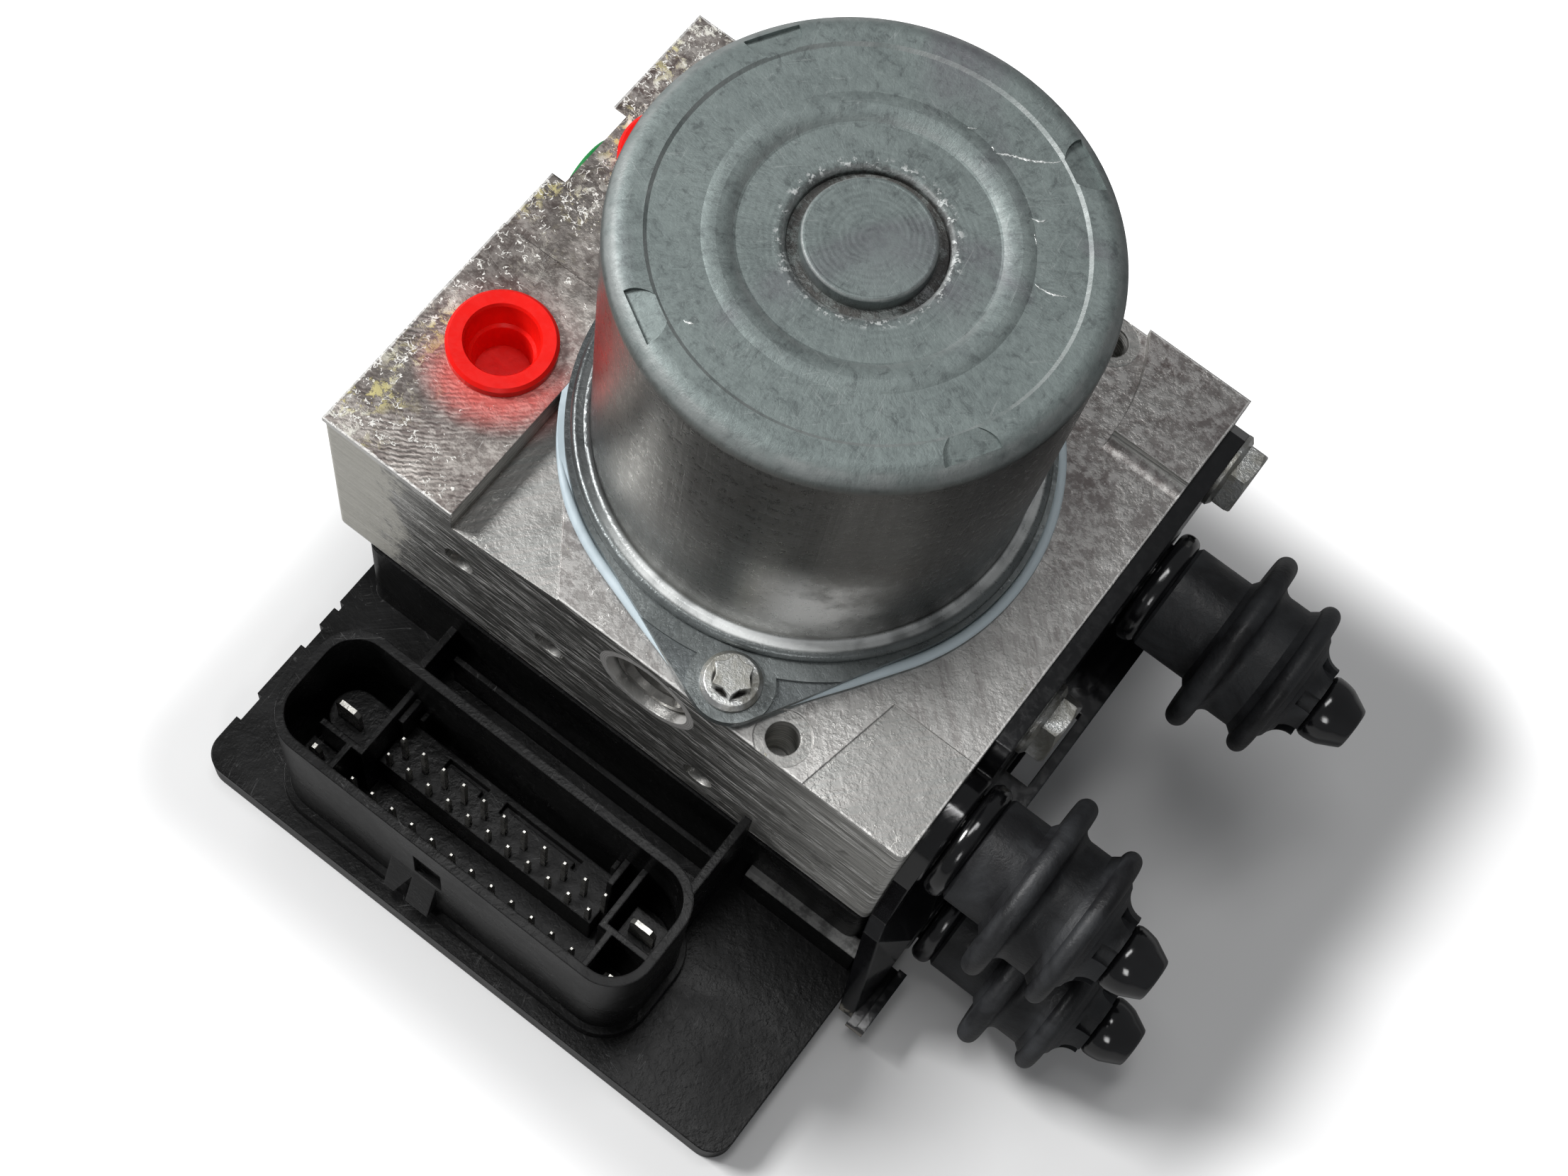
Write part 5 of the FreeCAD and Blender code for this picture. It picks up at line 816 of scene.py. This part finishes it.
# Port caps. Soft moulded stoppers of translucent plastic with a satin skin: red on top of the
# block, green at its left side.

def cap_plastic(name, tone, deep):
    """Soft translucent plastic with a little light under its skin."""
    material, tree, output = blank_material(name)
    place = own_place(tree)
    cloud = bring(tree, bloom, Place=place, Size=80.0)
    colour = blend(tree, times(tree, cloud["Clouds"], 0.5), tone, deep)
    surface(tree, output,
            {"Base Color": colour, "Roughness": ramp(tree, cloud["Grain"], 0.0, 1.0, 0.30, 0.40),
             "Specular IOR Level": 0.25, "Subsurface Weight": 0.10, "Subsurface Scale": 0.0008,
             "Normal": bumped(tree, 0.12, 0.00006, cloud["Grain"])})
    return material


dress(cap_plastic("cap_red", (0.84, 0.010, 0.006, 1.0), (0.62, 0.004, 0.003, 1.0)),
      "port_cap_front", "port_cap_rear")
dress(cap_plastic("cap_green", (0.015, 0.22, 0.055, 1.0), (0.01, 0.15, 0.035, 1.0)),
      "side_port_caps")


# Controller. Glass filled black plastic: a satin moulded skin with specks of pale dust, fine
# scuffs, and painted light on the top of one ledge.

housing_black, tree, output = blank_material("housing_black")
place = own_place(tree)
cloud = bring(tree, bloom, Place=place, Size=55.0)
colour = blend(tree, cloud["Clouds"], (0.0035, 0.0035, 0.0035, 1.0), (0.0085, 0.0085, 0.0087, 1.0))
dust = bring(tree, specks, Place=place, Size=1700.0, Amount=0.42)
colour = blend(tree, times(tree, dust["Mask"], 0.5), colour, (0.20, 0.19, 0.18, 1.0))
marks = bring(tree, scratches, Place=place, Amount=0.3)
colour = blend(tree, marks["Mask"], colour, (0.16, 0.16, 0.16, 1.0))

# The top of the ledge beside the socket is painted pale, a painted light broken by a noise: right
# of its left end, between its two heights.
ledge_left_x, ledge_low_z, ledge_high_z = 0.0270, 0.0139, 0.0156
axes = split(tree, place)
facing = split(tree, put(tree, "ShaderNodeNewGeometry").outputs["Normal"])
ledge_top_light = times(tree, ramp(tree, axes["X"], ledge_left_x, 0.0276),
              ramp(tree, facing["Z"], 0.3, 0.6))
ledge_top_light = times(tree, ledge_top_light, ramp(tree, axes["Z"], ledge_low_z, 0.0144))
ledge_top_light = times(tree, ledge_top_light, ramp(tree, axes["Z"], ledge_high_z, 0.0153))
ledge_top_light = times(tree, ledge_top_light, ramp(tree, noise(tree, place, 420.0, 4.0, 0.7), 0.35, 0.60, 0.4, 1.0))
colour = blend(tree, ledge_top_light, colour, (0.20, 0.20, 0.195, 1.0))
surface(tree, output,
        {"Base Color": colour, "Specular IOR Level": 0.13,
         "Roughness": ramp(tree, cloud["Clouds"], 0.0, 1.0, 0.26, 0.34),
         "Normal": bumped(tree, 0.25, 0.00008, cloud["Grain"], soft_edges(tree, 0.00035))})
dress(housing_black, "controller_housing", "controller_cover", "controller_seal")


# Contacts. Tin plated signal pins and power blades in the plug socket, with the fine marks of
# stamped metal.

pin_tin = turned_steel("pin_tin", (0.62, 0.61, 0.57, 1.0), roughness=0.30)
dress(pin_tin, "signal_pins", "power_blades")


# Bracket and mount pins. Pressed sheet and turned pins under a smooth, glossy black dip coat,
# which holds some dust and is gone from the bracket's foot.

dip_coat, tree, output = blank_material("black_dip_coat")
place = own_place(tree)
cloud = bring(tree, bloom, Place=place, Size=75.0)
colour = blend(tree, cloud["Clouds"], (0.003, 0.003, 0.0035, 1.0), (0.008, 0.008, 0.009, 1.0))
dust = bring(tree, specks, Place=place, Size=1300.0, Amount=0.38)
colour = blend(tree, times(tree, dust["Mask"], 0.4), colour, (0.16, 0.13, 0.10, 1.0))

# The bracket's foot has lost its coat and shows beige primer.
bare_foot_z = 0.0066
axes = split(tree, place)
bare = times(tree, ramp(tree, axes["Z"], bare_foot_z, 0.0050),
             ramp(tree, noise(tree, place, 260.0, 4.0, 0.7), 0.42, 0.54))
colour = blend(tree, bare, colour, (0.30, 0.275, 0.23, 1.0))
surface(tree, output,
        {"Base Color": colour, "Roughness": ramp(tree, cloud["Grain"], 0.0, 1.0, 0.10, 0.16),
         "Specular IOR Level": 0.9,
         "Normal": bumped(tree, 0.15, 0.0001, cloud["Clouds"], soft_edges(tree, 0.0004))})
dress(dip_coat, "bracket", "mount_pin_rear", "mount_pin_front", "mount_pin_low")

tip_sides = 64


def turned_along_x(profile, start):
    """A round skin about an axis along X: each profile point is a distance and a radius, and the
    point at angle a is (start + distance, radius cos a, radius sin a) from the axis."""
    angles = np.linspace(0.0, 2.0 * np.pi, tip_sides, endpoint=False)
    way, radius = np.array(profile).T
    return np.stack([np.repeat((start[0] + way)[:, None], tip_sides, axis=1),
                     start[1] + radius[:, None] * np.cos(angles),
                     start[2] + radius[:, None] * np.sin(angles)], axis=2)


# The dip coat runs over the flats of the pin tips and rounds them into smooth noses.
tip_profile = ((0.02, 4.3), (0.35, 4.95), (0.9, 5.2), (1.7, 5.22), (2.7, 5.1), (3.6, 4.9),
               (4.4, 4.5), (5.4, 4.0), (6.2, 3.58), (6.6, 3.36), (6.74, 3.1), (6.8, 2.5))
tip_starts = ((81.0, 18.8, 54.0), (78.4, -30.6, 54.0), (84.9, -29.3, 16.0))
pipe_piece("pin_tip_coats", [turned_along_x(tip_profile, start) for start in tip_starts],
           dip_coat)


# Rubber mounts. Matt moulded rubber clouded with grey-blue. Road dirt sticks to the rear cone,
# and a little of it to the others.

mount_rubber, tree, output = blank_material("mount_rubber")
place = own_place(tree)
axes = split(tree, place)
cloud = bring(tree, bloom, Place=place, Size=85.0)
colour = blend(tree, cloud["Clouds"], (0.010, 0.010, 0.011, 1.0), (0.032, 0.034, 0.037, 1.0))
crust = bring(tree, specks, Place=place, Size=1000.0, Amount=0.55)
cone_start_x, other_cones = 0.070, 0.12
rear_cone = times(tree, ramp(tree, axes["X"], cone_start_x, 0.075),
                  ramp(tree, axes["Y"], 0.0, 0.005))
colour = blend(tree, times(tree, crust["Mask"], sums(tree, "MAXIMUM", rear_cone, other_cones)),
               colour, (0.13, 0.055, 0.028, 1.0))
surface(tree, output,
        {"Base Color": colour, "Specular IOR Level": 0.40,
         "Roughness": ramp(tree, cloud["Clouds"], 0.0, 1.0, 0.42, 0.60),
         "Normal": bumped(tree, 0.3, 0.0001, cloud["Grain"])})
dress(mount_rubber, "rubber_mount_rear", "rubber_mount_front", "rubber_mount_low")


# Inside of the motor, the pump, the valves and the controller. Plain working finishes: ground
# steel, laminated iron, enamelled copper, ferrite, carbon and green board.

ground_steel = turned_steel("ground_steel", (0.48, 0.48, 0.48, 1.0), roughness=0.25)
dress(ground_steel, "motor_shaft", "cam_ring", "top_bearing", "lower_bearing",
      "pump_piston_front", "pump_piston_rear", "pump_sleeves", "inlet_valves", "outlet_valves")
spring_wire = turned_steel("spring_wire", (0.40, 0.40, 0.42, 1.0), roughness=0.30)
dress(spring_wire, "brush_springs", "pump_spring_front", "pump_spring_rear",
      "accumulator_spring_left", "accumulator_spring_right")
piston_alloy = turned_steel("piston_alloy", (0.52, 0.50, 0.46, 1.0), roughness=0.38)
dress(piston_alloy, "accumulator_piston_left", "accumulator_piston_right")
frame_steel = turned_steel("frame_steel", (0.55, 0.55, 0.52, 1.0), roughness=0.40)
dress(frame_steel, "coil_frames")
copper = turned_steel("enamelled_copper", (0.62, 0.25, 0.10, 1.0), roughness=0.30)
dress(copper, "armature_windings", "commutator", "motor_contacts")
ferrite = turned_steel("ferrite", (0.09, 0.09, 0.10, 1.0), 0.1, 0.7)
dress(ferrite, "field_magnets", "carbon_brushes")
moulding = turned_steel("grey_moulding", (0.16, 0.16, 0.17, 1.0), 0.0, 0.5)
dress(moulding, "brush_holder", "solenoid_coils", "board_parts")
board_green = turned_steel("board_green", (0.02, 0.16, 0.06, 1.0), 0.0, 0.4)
dress(board_green, "circuit_board")

iron_stack, tree, output = blank_material("iron_stack")
place = own_place(tree)
sheets = put(tree, "ShaderNodeTexWave", {"Vector": place, "Scale": 320.0}, wave_type="BANDS",
             bands_direction="Z").outputs["Fac"]
colour = blend(tree, sheets, (0.16, 0.16, 0.17, 1.0), (0.36, 0.36, 0.36, 1.0))
surface(tree, output, {"Base Color": colour, "Metallic": 0.85, "Roughness": 0.45,
                       "Normal": bumped(tree, 0.4, 0.0001, sheets)})
dress(iron_stack, "armature_core")
